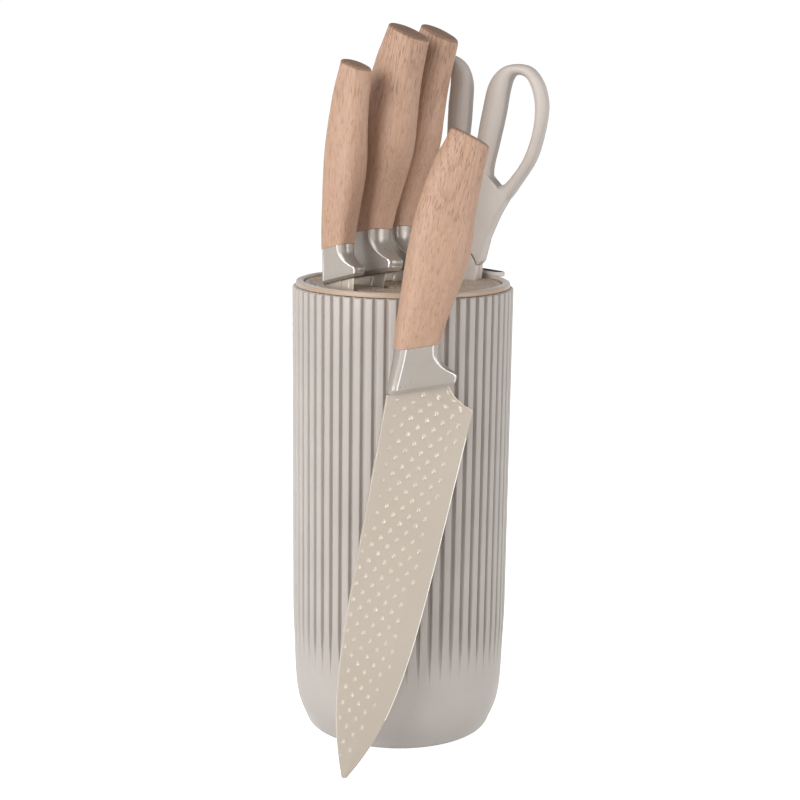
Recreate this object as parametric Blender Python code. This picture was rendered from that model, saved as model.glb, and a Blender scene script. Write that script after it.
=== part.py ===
"""Round fluted knife block with three seated knives, kitchen scissors and a leaning chef's knife.

Metres, +Z up. The origin is the centre of the base pad's underside. -Y is the front.
Knife frames: local X runs from the spine to the cutting edge, local Y is the thickness,
local Z runs up the handle, and the origin is the bolster's lower corner on the spine side.
"""
import math

import bmesh
import bpy
from mathutils import Matrix, Vector

MM = 0.001
GAP = 0.3 * MM                      # clearance between touching pieces
ROUND_SEGMENTS = 60                 # facets of the block's turned pieces, one per flute

# Block shell
SHELL_RADIUS = 60.0 * MM
SHELL_TOP = 247.0 * MM
SHELL_INNER_RADIUS = 55.8 * MM
WALL_TAPER = 0.012                  # share of the radius lost between the rim and the base
FLUTE_COUNT = 60
FLUTE_PHASE = math.radians(-1.74)   # first groove, from -Y towards +X
GROOVE_DEPTH = 1.4 * MM
GROOVE_HALF_ANGLE = math.radians(0.85)
GROOVE_FLOOR_HALF_ANGLE = math.radians(0.5)
FLUTE_FADE_TOP = 68.0 * MM
RIM_BEVEL = 0.8 * MM
RIM_BEVEL_HEIGHT = 1.0 * MM
SHELL_BOTTOM = 0.5 * MM
RECESS_RADIUS = 46.5 * MM           # recess for the base plate and pad
FLANGE_BOTTOM = 4.6 * MM
FLANGE_TOP = 8.0 * MM
FLANGE_INNER_RADIUS = 38.0 * MM
# height and radius where the inside wall starts to round into the floor, and on the way down
INSIDE_CURVE = ((26.0, 55.8), (15.0, 53.0), (8.0, 49.0))
# height above the base and how far the flank lies inside the wall there
FLANK = ((36.0, 1.1), (28.0, 1.5), (21.0, 2.1), (15.0, 3.2), (10.0, 4.9), (6.0, 6.6), (3.0, 7.8),
         (1.3, 9.0), (0.5, 10.6))

# Base
PAD_RADIUS = 45.6 * MM
PAD_THICKNESS = 1.5 * MM
PLATE_RADIUS = 46.1 * MM
PLATE_THICKNESS = 2.4 * MM
BASE_SCREW_RING = 42.0 * MM
BASE_SCREW_COUNT = 3
BASE_SCREW_SHAFT = 1.3 * MM
BASE_SCREW_HEAD = 2.6 * MM
SCREW_HEAD_HEIGHT = 1.2 * MM
DRAIN_RADIUS = 2.5 * MM
DRAIN_RING = 24.0 * MM
DRAIN_COUNT = 8

# Lid
LID_TOP = 250.0 * MM
RING_RADIUS = 58.1 * MM
DECK_RADIUS = 53.6 * MM
DECK_TOP = 248.8 * MM
DECK_THICKNESS = 2.8 * MM
LEDGE_RADIUS = 50.0 * MM
LEDGE_THICKNESS = 2.4 * MM
SKIRT_RADIUS = 55.3 * MM
SKIRT_WALL = 2.6 * MM
SKIRT_BOTTOM = 232.0 * MM
SEAL_BOTTOM = 236.0 * MM
SEAL_HEIGHT = 3.4 * MM
SEAL_INNER_RADIUS = 54.3 * MM
SEAL_OUTER_RADIUS = 55.5 * MM
LID_SCREW_RING = 51.6 * MM
LID_SCREW_ANGLES = (10.0, 128.0, 262.0)   # degrees from +X, clear of the slots
LID_SCREW_SHAFT = 0.9 * MM
LID_SCREW_HEAD = 1.7 * MM
TAB_ANGLE = math.radians(35.0)
TAB_RING = 57.8 * MM
TAB_LENGTH = 30.0 * MM
TAB_WIDTH = 8.0 * MM
TAB_HEIGHT = 2.8 * MM
TAB_RECESS = 1.9 * MM
TAB_WALL = 1.7 * MM

# Slots for the knives lie side by side, at one angle to the front
SLOT_YAW = math.radians(-43.0)
SLOT_WIDTH = 7.0 * MM
SLOT_CORNER = 3.2 * MM
CHEF_SLOT_OFFSET = -21.0 * MM
CHEF_SLOT_SPAN = (-26.0 * MM, 26.0 * MM)
SCISSOR_SLOT_SIZE = (30.0 * MM, 11.4 * MM)
SCISSOR_SLOT_CORNER = 2.4 * MM

# Knife handle and bolster, as sections up the knife of a full-size chef's knife:
# height, back edge, finger edge, thickness, roundness exponent, all sizes in millimetres
END_SLANT = 0.318                   # rise per unit of width where bolster, blade and handle meet
BOLSTER_SECTIONS = (
    (0.0, 0.7, 32.3, 8.4, 5.0),
    (1.5, 0.0, 33.5, 10.2, 5.0),
    (4.6, 0.0, 33.7, 10.6, 4.6),
    (6.2, 0.0, 32.8, 11.0, 4.4),
    (8.6, 0.0, 29.6, 11.6, 4.0),
    (12.1, 0.0, 25.9, 12.6, 3.6),
    (16.6, 0.0, 22.9, 14.0, 3.1),
    (23.2, -0.2, 21.6, 15.6, 2.6),
)
HANDLE_START = 23.5
# height of the section's middle, back edge, finger edge, thickness, slant
HANDLE_SECTIONS = (
    (27.0, -0.2, 21.7, 15.6, 0.318),
    (39.0, -1.3, 23.1, 19.0, 0.20),
    (53.0, -1.9, 25.6, 21.8, 0.10),
    (68.0, -2.5, 28.2, 23.4, 0.0),
    (79.0, -2.5, 29.0, 23.4, -0.03),
    (91.0, -1.8, 28.4, 22.2, -0.08),
    (105.0, 0.2, 27.9, 20.6, -0.15),
    (117.0, 2.8, 28.0, 19.8, -0.22),
    (127.0, 6.2, 28.5, 19.2, -0.28),
    (132.5, 8.3, 28.7, 18.0, -0.30),
    (134.8, 10.6, 26.8, 13.6, -0.30),
)
HANDLE_ROUNDNESS = 2.35
SECTION_POINTS = 18
TANG_SPAN = (5.6, 17.2)             # across a full-size knife, millimetres
TANG_TOP = 92.0
TANG_CLEARANCE = 0.4
SPINE_THICKNESS = 2.2
EDGE_THICKNESS = 0.4

# Blades: length, width at the heel, straight taper, tip height above the spine line, width of the
# blunt point, exponent of the belly, where the cutting edge starts, edge scallop pitch
BLADES = {
    "chef": dict(length=201.5, heel=46.0, taper=11.0, tip=13.0, point=2.6,
                 belly=6.2, start=30.7, pitch=0.0),
    "bread": dict(length=198.0, heel=27.5, taper=1.0, tip=9.0, point=0.8,
                  belly=11.0, start=27.5, pitch=9.0),
    "carving": dict(length=196.0, heel=29.0, taper=4.0, tip=8.0, point=0.8,
                    belly=7.0, start=29.0, pitch=0.0),
    "utility": dict(length=127.0, heel=21.5, taper=3.0, tip=7.0, point=0.8,
                    belly=6.0, start=21.5, pitch=0.0),
}
# rows that turn from the bolster's slant to the square heel: height, slant, share of the heel
HEEL_ROWS = ((-1.2, 0.17, 0.26), (-1.8, 0.08, 0.58), (-2.4, 0.02, 0.95))
STATIONS = (0.02, 0.1, 0.25, 0.4, 0.52, 0.62, 0.7, 0.77, 0.83, 0.88, 0.92, 0.955, 0.985, 1.0)
SPINE_DROP_START = 0.45             # share of the length where the spine starts to drop
SPINE_DROP_EXPONENT = 3.2
BEVEL_WIDTH = 11.0                  # width of the thinned strip behind the edge
SCALLOP_DEPTH = 1.1

# Seated knives: offset of the slot from the centre, start of the spine along the slot,
# lean towards +X in degrees, span of the slot, height of the bolster above the deck
SEATED_KNIVES = {
    "utility": dict(offset=44.5 * MM, along=-15.2 * MM, lean=2.9,
                    slot=(-18.5 * MM, 10.0 * MM), lift=0.8 * MM),
    "bread": dict(offset=22.0 * MM, along=-20.8 * MM, lean=7.6,
                  slot=(-25.0 * MM, 11.5 * MM), lift=1.4 * MM),
    "carving": dict(offset=-4.5 * MM, along=-28.6 * MM, lean=9.6,
                    slot=(-33.0 * MM, 5.0 * MM), lift=1.7 * MM),
}
# share of the chef's knife's length, width and bolster height
KNIFE_SIZES = {
    "chef": (1.0, 1.0, 1.0),
    "utility": (0.875, 0.885, 0.9),
    "bread": (1.003, 1.045, 1.03),
    "carving": (1.01, 1.0, 1.02),
}

# Chef's knife: tip on the table, handle against the rim
CHEF_ORIGIN = (-7.5 * MM, -76.4 * MM, 201.2 * MM)
CHEF_LEAN_SIDE = math.radians(9.6)
CHEF_LEAN_BACK = math.radians(4.1)
CHEF_YAW = math.radians(12.0)

# Scissors: local X across, local Z up, origin on the deck line below the pivot
SCISSORS_ORIGIN = (29.0 * MM, 25.7 * MM, 249.0 * MM)
SCISSORS_YAW = math.radians(-25.0)
SCISSORS_LEAN = math.radians(7.1)
BOW_SPREAD = 1.07                   # width of the bows and shanks against the outlines below
PIVOT_HEIGHT = 4.0
HUB_RADIUS = 14.4
HUB_GAP = 0.4
HUB_HALF_WIDTH = 13.4
HANDLE_HALF_THICKNESS = 5.0
BLADE_LAYER = (0.3, 2.1)            # near and far face of each scissor blade from the mid-plane
PIVOT_SHAFT = 2.2
PIVOT_HEAD = 4.4
PIVOT_HEAD_HEIGHT = 1.1
# outer and inner outline of one finger bow, matched point by point, starting low on the inside
BOW_OUTER = ((3.2, 58.0), (2.4, 78.0), (3.2, 95.0), (4.8, 108.0), (10.0, 116.6), (18.2, 120.2),
             (26.6, 119.2), (33.6, 112.0), (37.6, 101.0), (37.8, 88.0), (35.6, 72.0), (29.6, 58.0),
             (22.4, 46.0), (11.0, 44.0))
BOW_INNER = ((13.2, 62.0), (14.4, 76.0), (15.8, 92.0), (16.2, 105.0), (17.4, 112.6), (20.6, 114.6),
             (25.2, 112.8), (29.2, 106.0), (31.4, 97.0), (31.6, 85.0), (29.0, 71.6), (24.4, 61.6),
             (20.0, 55.4), (15.2, 55.6))
# half outlines (across, up) in millimetres, for the half whose bow is on the right
SHANK_OUTLINE = ((1.0, 40.0), (2.8, 60.0), (13.0, 59.0), (20.3, 53.0), (25.2, 48.2), (20.9, 38.4),
                 (17.1, 25.5), (15.4, 12.0))
STRAP_OUTLINE = ((4.0, 12.0), (11.5, 10.0), (14.6, 12.0), (16.0, 25.0), (6.0, 25.0))
HUB_FOOT = ((-10.5, -3.5), (-8.5, -10.0), (8.5, -10.0), (10.5, -3.5))
SCISSOR_TANG = ((4.0, 0.0), (11.0, 0.0), (12.4, 24.0), (14.4, 40.0), (9.0, 40.0), (6.0, 24.0))
TANG_MARGIN = 0.4
# blade outline: across, and down from the pivot; the blade ends on the side opposite its bow
SCISSOR_BLADE = ((-3.0, -98.0), (-7.0, -84.0), (-10.5, -56.0), (-11.4, -14.0), (-9.6, 1.0), (-4.0, 7.0),
                 (4.0, 8.0), (9.5, 5.0), (9.8, -6.0), (4.0, -16.0), (1.2, -24.0), (0.8, -68.0))


def material(name, color, roughness, metallic=0.0):
    """One Principled material."""
    mat = bpy.data.materials.new(name)
    mat.use_nodes = True
    shader = mat.node_tree.nodes["Principled BSDF"]
    shader.inputs["Base Color"].default_value = (*color, 1.0)
    shader.inputs["Roughness"].default_value = roughness
    shader.inputs["Metallic"].default_value = metallic
    return mat


def empty(name, matrix, parent=None):
    """A frame that carries pieces; its origin lies on the joint's axis."""
    frame = bpy.data.objects.new(name, None)
    bpy.context.collection.objects.link(frame)
    frame.parent = parent
    frame.matrix_local = matrix
    return frame


def add_object(name, bm, mat=None, parent=None, location=(0, 0, 0)):
    """Turn a bmesh into a named, shaded object under its frame."""
    bmesh.ops.recalc_face_normals(bm, faces=bm.faces)
    mesh = bpy.data.meshes.new(name)
    bm.to_mesh(mesh)
    bm.free()
    if mat:
        mesh.materials.append(mat)
    mesh.shade_smooth()
    mesh.set_sharp_from_angle(angle=math.radians(35))
    obj = bpy.data.objects.new(name, mesh)
    bpy.context.collection.objects.link(obj)
    obj.parent = parent
    obj.location = location
    return obj


def boolean(target, other, operation="DIFFERENCE"):
    """Cut another shape out of a piece, or join it on."""
    other.hide_render = True
    other.display_type = "WIRE"
    modifier = target.modifiers.new(other.name, "BOOLEAN")
    modifier.operation = operation
    modifier.solver = "EXACT"
    modifier.object = other


def apply_modifiers(obj, used):
    """Bake a piece's modifiers into its mesh and remove the shapes they used."""
    bpy.context.view_layer.update()
    evaluated = obj.evaluated_get(bpy.context.evaluated_depsgraph_get())
    mesh = bpy.data.meshes.new_from_object(evaluated)
    obj.modifiers.clear()
    obj.data = mesh
    for other in used:
        bpy.data.objects.remove(other)


def loft(rings, closed=False):
    """Skin matched rings of points; open lofts are capped at both ends."""
    bm = bmesh.new()
    loops = [[bm.verts.new(point) for point in ring] for ring in rings]
    pairs = list(zip(loops, loops[1:]))
    if closed:
        pairs.append((loops[-1], loops[0]))
    for lower, upper in pairs:
        for i, vert in enumerate(lower):
            j = (i + 1) % len(lower)
            bm.faces.new((vert, lower[j], upper[j], upper[i]))
    if not closed:
        bm.faces.new(loops[0])
        bm.faces.new(loops[-1])
    return bm


def turned(profile, segments=ROUND_SEGMENTS):
    """Spin a closed (radius, height) outline around Z into a ring."""
    rings = []
    for i in range(segments):
        angle = 2 * math.pi * i / segments
        rings.append([(r * math.cos(angle), r * math.sin(angle), z) for r, z in profile])
    return loft(rings, closed=True)


def disc(radius, bottom, top, segments=ROUND_SEGMENTS):
    """A plain round plate."""
    return loft([circle(radius, z, segments) for z in (bottom, top)])


def circle(radius, z, segments):
    angles = [2 * math.pi * i / segments for i in range(segments)]
    return [(radius * math.cos(a), radius * math.sin(a), z) for a in angles]


def prism(outline, low, high):
    """Extrude an (x, z) outline along Y."""
    return loft([[(x, y, z) for x, z in outline] for y in (low, high)])


def stadium(half_length, half_width, z, steps=6):
    """A slot's outline with round ends, along X."""
    points = []
    for side in (1, -1):
        for i in range(steps + 1):
            angle = -math.pi / 2 + math.pi * i / steps
            points.append((side * (half_length - half_width + half_width * math.cos(angle)),
                           side * half_width * math.sin(angle), z))
    return points


def rounded_rectangle(half_length, half_width, radius, z, steps=4):
    """Outline with round corners, along X."""
    points = []
    for corner in range(4):
        x = (half_length - radius) * (1 if corner in (0, 3) else -1)
        y = (half_width - radius) * (1 if corner in (0, 1) else -1)
        for i in range(steps + 1):
            angle = math.pi / 2 * (corner + i / steps)
            points.append((x + radius * math.cos(angle), y + radius * math.sin(angle), z))
    return points


def turned_along_y(steps, segments=20):
    """A stepped pin along Y from (radius, y) steps."""
    rings = []
    for radius, y in steps:
        rings.append([(x, y, z) for x, z, _ in circle(radius, 0, segments)])
    return loft(rings)


def smooth_loop(points, per_span):
    """Closed Catmull-Rom curve through the points."""
    count = len(points)
    result = []
    for i in range(count):
        a, b, c, d = (Vector(points[(i + k - 1) % count]) for k in range(4))
        for step in range(per_span):
            t = step / per_span
            result.append(0.5 * (2 * b + (c - a) * t + (2 * a - 5 * b + 4 * c - d) * t ** 2
                                 + (3 * b - a - 3 * c + d) * t ** 3))
    return result


# Block ---------------------------------------------------------------------------------------

def wall_radius(z):
    return SHELL_RADIUS * (1 - WALL_TAPER * (1 - z / SHELL_TOP))


def fluted_ring(z, inset, depth):
    """One level of the outside, with four corners to each flute and its groove."""
    points = []
    for i in range(FLUTE_COUNT):
        middle = FLUTE_PHASE + 2 * math.pi * i / FLUTE_COUNT
        corners = ((-GROOVE_HALF_ANGLE, 0), (-GROOVE_FLOOR_HALF_ANGLE, depth),
                   (GROOVE_FLOOR_HALF_ANGLE, depth), (GROOVE_HALF_ANGLE, 0))
        for offset, cut in corners:
            radius = wall_radius(z) - inset - cut
            points.append((radius * math.sin(middle + offset), -radius * math.cos(middle + offset), z))
    return points


def plain_ring(z, radius):
    """One level without grooves, with the fluted ring's first corner of each flute."""
    step = 2 * math.pi / FLUTE_COUNT
    angles = [FLUTE_PHASE - GROOVE_HALF_ANGLE + step * i for i in range(FLUTE_COUNT)]
    return [(radius * math.sin(a), -radius * math.cos(a), z) for a in angles]


def bridge(bm, lower, upper):
    """Join two loops; the upper one may have several corners to one corner below."""
    share = len(upper) // len(lower)
    for i, vert in enumerate(lower):
        following = lower[(i + 1) % len(lower)]
        fan = [upper[(i * share + k) % len(upper)] for k in range(share + 1)]
        if share == 1:
            bm.faces.new((vert, following, fan[1], fan[0]))
        else:
            for first, second in zip(fan[:-1], fan[1:-1]):
                bm.faces.new((vert, second, first))
            bm.faces.new((vert, following, fan[-1], fan[-2]))


def build_shell(mat, parent):
    """Fluted outer wall, rounded foot and open inside with a flange for the base plate."""
    bm = bmesh.new()
    flank = [plain_ring(z * MM, wall_radius(z * MM) - inset * MM) for z, inset in reversed(FLANK)]
    flutes = [fluted_ring(FLUTE_FADE_TOP, 0, GROOVE_DEPTH),
              fluted_ring(SHELL_TOP - RIM_BEVEL_HEIGHT, 0, GROOVE_DEPTH),
              fluted_ring(SHELL_TOP, RIM_BEVEL, GROOVE_DEPTH)]
    inside = [(SHELL_TOP, SHELL_INNER_RADIUS)] + [(z * MM, radius * MM) for z, radius in INSIDE_CURVE]
    inside += [(FLANGE_TOP, FLANGE_INNER_RADIUS), (FLANGE_BOTTOM, FLANGE_INNER_RADIUS),
               (FLANGE_BOTTOM, RECESS_RADIUS), (SHELL_BOTTOM, RECESS_RADIUS)]
    rings = flank + flutes + [plain_ring(z, radius) for z, radius in inside]
    loops = [[bm.verts.new(point) for point in ring] for ring in rings]
    for lower, upper in zip(loops, loops[1:] + loops[:1]):
        if len(lower) <= len(upper):
            bridge(bm, lower, upper)
        else:
            bridge(bm, upper, lower)
    shell = add_object("block_shell", bm, mat, parent)
    holes = [screw_hole(f"flange_hole_{i}", BASE_SCREW_SHAFT + GAP, FLANGE_BOTTOM - 2 * MM,
                        FLANGE_TOP - 0.8 * MM, BASE_SCREW_RING, angle)
             for i, angle in enumerate(screw_angles())]
    finish_cuts(shell, holes)
    return shell


def screw_angles():
    return [math.radians(90 + 360 * i / BASE_SCREW_COUNT) for i in range(BASE_SCREW_COUNT)]


def screw_hole(name, radius, bottom, top, ring, angle, segments=12):
    """A round cutter at a place on a bolt circle."""
    return add_object(name, disc(radius, bottom, top, segments),
                      location=(ring * math.cos(angle), ring * math.sin(angle), 0))


def finish_cuts(obj, cutters):
    for cutter in cutters:
        boolean(obj, cutter)
    apply_modifiers(obj, cutters)


def build_screw(name, shaft, head, bottom, head_top, top, place, mat, parent):
    """A screw that points up, with its head below."""
    levels = ((head, bottom), (head, head_top), (shaft, head_top), (shaft, top))
    return add_object(name, loft([circle(r, z, 12) for r, z in levels]), mat, parent, place)


def build_base(mats, parent):
    """Pad under the block, plate with drain holes, and the plate's screws."""
    add_object("base_pad", disc(PAD_RADIUS, 0, PAD_THICKNESS), mats["silicone"], parent)
    bottom = PAD_THICKNESS + GAP
    plate = add_object("base_plate", disc(PLATE_RADIUS, bottom, bottom + PLATE_THICKNESS), mats["tan"],
                       parent)
    head_top = bottom + SCREW_HEAD_HEIGHT
    cutters = []
    for i, angle in enumerate(screw_angles()):
        cutters.append(screw_hole(f"plate_hole_{i}", BASE_SCREW_SHAFT + GAP, 0, FLANGE_TOP,
                                  BASE_SCREW_RING, angle))
        cutters.append(screw_hole(f"plate_sink_{i}", BASE_SCREW_HEAD + GAP, 0, head_top + GAP,
                                  BASE_SCREW_RING, angle))
        place = (BASE_SCREW_RING * math.cos(angle), BASE_SCREW_RING * math.sin(angle), 0)
        build_screw(f"base_screw_{i + 1}", BASE_SCREW_SHAFT, BASE_SCREW_HEAD, bottom, head_top,
                    FLANGE_TOP - 1.3 * MM, place, mats["steel"], parent)
    for i in range(DRAIN_COUNT):
        cutters.append(screw_hole(f"drain_{i}", DRAIN_RADIUS, 0, FLANGE_TOP, DRAIN_RING,
                                  2 * math.pi * i / DRAIN_COUNT))
    finish_cuts(plate, cutters)


# Lid -----------------------------------------------------------------------------------------

def build_lid_ring(mat, parent):
    """Rim that rests on the shell, ledge for the deck and skirt with a seal groove."""
    ledge_top = DECK_TOP - DECK_THICKNESS - GAP
    seal_top = SEAL_BOTTOM + SEAL_HEIGHT
    groove = SEAL_INNER_RADIUS - GAP
    inner = SKIRT_RADIUS - SKIRT_WALL
    profile = [
        (SKIRT_RADIUS, SKIRT_BOTTOM), (SKIRT_RADIUS, SEAL_BOTTOM - GAP), (groove, SEAL_BOTTOM - GAP),
        (groove, seal_top + GAP), (SKIRT_RADIUS, seal_top + GAP), (SKIRT_RADIUS, SHELL_TOP + GAP),
        (RING_RADIUS, SHELL_TOP + GAP), (RING_RADIUS, LID_TOP - 0.4 * MM), (RING_RADIUS - 0.4 * MM, LID_TOP),
        (DECK_RADIUS + 0.6 * MM, LID_TOP), (DECK_RADIUS + GAP, LID_TOP - 0.3 * MM),
        (DECK_RADIUS + GAP, ledge_top),
        (LEDGE_RADIUS, ledge_top), (LEDGE_RADIUS, ledge_top - LEDGE_THICKNESS),
        (inner, ledge_top - LEDGE_THICKNESS - 3 * MM), (inner, SKIRT_BOTTOM),
    ]
    ring = add_object("lid_ring", turned(profile), mat, parent)
    cutters = [screw_hole(f"ledge_hole_{i}", LID_SCREW_SHAFT + GAP, ledge_top - 6 * MM,
                          ledge_top + 1 * MM, LID_SCREW_RING, math.radians(angle))
               for i, angle in enumerate(LID_SCREW_ANGLES)]
    cutters += [screw_hole(f"ledge_sink_{i}", LID_SCREW_HEAD + GAP, ledge_top - 12 * MM,
                           ledge_top - LEDGE_THICKNESS + 0.6 * MM, LID_SCREW_RING, math.radians(angle))
                for i, angle in enumerate(LID_SCREW_ANGLES)]
    finish_cuts(ring, cutters)


def slot_cutter(name, size, centre, yaw, corner):
    """Cutter for a slot through the deck."""
    levels = (DECK_TOP - DECK_THICKNESS - 2 * MM, DECK_TOP + 2 * MM)
    rings = [rounded_rectangle(size[0] / 2, size[1] / 2, corner, z) for z in levels]
    cutter = add_object(name, loft(rings))
    cutter.matrix_world = Matrix.Translation((centre[0], centre[1], 0)) @ Matrix.Rotation(yaw, 4, "Z")
    return cutter


def slot_point(offset, along):
    """Place on a knife slot, from its offset in front of the centre and the way along it."""
    return (math.sin(SLOT_YAW) * offset + math.cos(SLOT_YAW) * along,
            -math.cos(SLOT_YAW) * offset + math.sin(SLOT_YAW) * along)


def build_deck(mat, parent):
    """Plate with a slot for each knife and one for the scissors."""
    bottom = DECK_TOP - DECK_THICKNESS
    deck = add_object("lid_deck", disc(DECK_RADIUS, bottom, DECK_TOP), mat, parent)
    spans = {name: (seat["offset"], seat["slot"]) for name, seat in SEATED_KNIVES.items()}
    spans["chef"] = (CHEF_SLOT_OFFSET, CHEF_SLOT_SPAN)
    cutters = []
    for name, (offset, (start, end)) in spans.items():
        centre = slot_point(offset, (start + end) / 2)
        cutters.append(slot_cutter(f"{name}_slot", (end - start, SLOT_WIDTH), centre, SLOT_YAW,
                                   SLOT_CORNER))
    cutters.append(slot_cutter("scissor_slot", SCISSOR_SLOT_SIZE, SCISSORS_ORIGIN, SCISSORS_YAW,
                               SCISSOR_SLOT_CORNER))
    cutters += [screw_hole(f"deck_hole_{i}", LID_SCREW_SHAFT + GAP, bottom - 1 * MM, bottom + 1.9 * MM,
                           LID_SCREW_RING, math.radians(angle))
                for i, angle in enumerate(LID_SCREW_ANGLES)]
    finish_cuts(deck, cutters)


def build_lid_details(mats, parent):
    """Seal in the skirt's groove, screws under the ledge and the lifting tab."""
    seal = [(SEAL_INNER_RADIUS, SEAL_BOTTOM), (SEAL_OUTER_RADIUS, SEAL_BOTTOM),
            (SEAL_OUTER_RADIUS, SEAL_BOTTOM + SEAL_HEIGHT), (SEAL_INNER_RADIUS, SEAL_BOTTOM + SEAL_HEIGHT)]
    add_object("lid_seal", turned(seal), mats["silicone"], parent)
    ledge_bottom = DECK_TOP - DECK_THICKNESS - GAP - LEDGE_THICKNESS
    for i, degrees in enumerate(LID_SCREW_ANGLES):
        angle = math.radians(degrees)
        place = (LID_SCREW_RING * math.cos(angle), LID_SCREW_RING * math.sin(angle), 0)
        head_top = ledge_bottom + 0.3 * MM
        build_screw(f"lid_screw_{i + 1}", LID_SCREW_SHAFT, LID_SCREW_HEAD, head_top - SCREW_HEAD_HEIGHT,
                    head_top, DECK_TOP - 1.4 * MM, place, mats["steel"], parent)
    build_tab(mats["shell"], parent)


def build_tab(mat, parent):
    """Raised oblong tab with a shallow finger recess, along the rim."""
    base = LID_TOP + GAP
    top = base + TAB_HEIGHT
    floor = top - TAB_RECESS
    half_length, half_width = TAB_LENGTH / 2, TAB_WIDTH / 2
    levels = ((0.0, base), (0.0, top - 0.6 * MM), (0.5 * MM, top), (TAB_WALL, top), (TAB_WALL, floor))
    rings = [stadium(half_length - inset, half_width - inset, z) for inset, z in levels]
    tab = add_object("lid_tab", loft(rings), mat, parent)
    tab.location = (TAB_RING * math.cos(TAB_ANGLE), TAB_RING * math.sin(TAB_ANGLE), 0)
    tab.rotation_euler = (0, 0, TAB_ANGLE - math.pi / 2)


# Knives --------------------------------------------------------------------------------------

def oval(back, front, thickness, exponent, height, slant):
    """Superellipse section; its plane rises by the slant towards the finger edge."""
    middle, half = (back + front) / 2, (front - back) / 2
    points = []
    for i in range(SECTION_POINTS):
        angle = 2 * math.pi * (i + 0.5) / SECTION_POINTS
        c, s = math.cos(angle), math.sin(angle)
        x = middle + half * math.copysign(abs(c) ** (2 / exponent), c)
        y = thickness / 2 * math.copysign(abs(s) ** (2 / exponent), s)
        points.append((x * MM, y * MM, (height + slant * x) * MM))
    return points


def tang_cutter(name, wide, bottom, top):
    """Space for the tang, a little larger than it."""
    low, high = TANG_SPAN[0] * wide - TANG_CLEARANCE, TANG_SPAN[1] * wide + TANG_CLEARANCE
    outline = [(x * MM, z * MM) for x, z in ((low, bottom), (high, bottom), (high, top), (low, top))]
    half = (SPINE_THICKNESS / 2 + TANG_CLEARANCE) * MM
    return add_object(name, prism(outline, -half, half))


def build_bolster(name, mat, parent):
    size, slim, tall = KNIFE_SIZES[name]
    wide = size * slim
    rings = [oval(back * wide, front * wide, thickness * wide, exponent, height * size * tall, END_SLANT)
             for height, back, front, thickness, exponent in BOLSTER_SECTIONS]
    bolster = add_object(f"{name}_bolster", loft(rings), mat)
    finish_cuts(bolster, [tang_cutter(f"{name}_bolster_tang", wide, -4.0, 45.0)])
    bolster.parent = parent


def build_handle(name, mat, parent):
    size, slim, tall = KNIFE_SIZES[name]
    wide = size * slim
    rings = []
    for middle, back, front, thickness, slant in HANDLE_SECTIONS:
        height = (middle + HANDLE_START * (tall - 1)) * size - slant * (back + front) / 2 * wide
        rings.append(oval(back * wide, front * wide, thickness * wide, HANDLE_ROUNDNESS, height, slant))
    handle = add_object(f"{name}_handle", loft(rings), mat)
    finish_cuts(handle, [tang_cutter(f"{name}_handle_tang", wide, 8.0, TANG_TOP * size + 1.0)])
    handle.parent = parent


def blade_stations(blade):
    """Rows down the blade: height at the spine, slant, spine, edge."""
    rows = [(-GAP / MM, END_SLANT, 0.0, blade["start"])]
    if blade["heel"] > blade["start"]:
        reach = blade["heel"] - blade["start"]
        rows += [(height, slant, 0.0, blade["start"] + share * reach) for height, slant, share in HEEL_ROWS]
    length = blade["length"]
    if blade["pitch"]:
        count = int(length / blade["pitch"]) * 2
        shares = [i / count for i in range(1, count + 1)]
    else:
        shares = STATIONS
    for i, share in enumerate(shares):
        drop = max(0.0, (share - SPINE_DROP_START) / (1 - SPINE_DROP_START))
        spine = blade["tip"] * drop ** SPINE_DROP_EXPONENT
        belly = blade["heel"] - blade["taper"] - blade["tip"] - blade["point"]
        edge = blade["heel"] - blade["taper"] * share - belly * share ** blade["belly"]
        if blade["pitch"] and i % 2 and share < 0.9:
            edge -= SCALLOP_DEPTH
        rows.append((-share * length, 0.0, spine, edge))
    return rows


def blade_ring(height, slant, spine, edge):
    """Six corners: thick spine, bevel line and thin edge."""
    bevel = edge - min(BEVEL_WIDTH, 0.45 * (edge - spine))
    half, thin = SPINE_THICKNESS / 2, EDGE_THICKNESS / 2
    flat = half * 0.9
    corners = ((spine, -half), (bevel, -flat), (edge, -thin), (edge, thin), (bevel, flat), (spine, half))
    return [(x * MM, y * MM, (height + slant * x) * MM) for x, y in corners]


def tang_ring(wide, height, slant):
    low, high = (x * wide for x in TANG_SPAN)
    half = SPINE_THICKNESS / 2
    middle = (low + high) / 2
    corners = ((low, -half), (middle, -half), (high, -half), (high, half), (middle, half), (low, half))
    return [(x * MM, y * MM, (height + slant * x) * MM) for x, y in corners]


def build_blade(name, mat, parent):
    """Blade with its tang, in one piece."""
    rows = blade_stations(BLADES[name])
    size, slim, _ = KNIFE_SIZES[name]
    rings = [tang_ring(size * slim, TANG_TOP * size, 0.0), tang_ring(size * slim, rows[0][0], rows[0][1])]
    rings += [blade_ring(*row) for row in rows]
    add_object(f"{name}_blade", loft(rings), mat, parent)


def build_knife(name, mats, matrix, parent):
    frame = empty(f"{name}_knife_frame", matrix, parent)
    build_blade(name, mats["blade"], frame)
    build_bolster(name, mats["bolster"], frame)
    build_handle(name, mats["wood"], frame)


def seated_matrix(seat):
    """Frame of a knife that hangs in its slot and leans towards +X."""
    x, y = slot_point(seat["offset"], seat["along"])
    lean = Matrix.Rotation(math.radians(seat["lean"]), 4, "Y")
    return Matrix.Translation((x, y, DECK_TOP + seat["lift"])) @ lean @ Matrix.Rotation(SLOT_YAW, 4, "Z")


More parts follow.
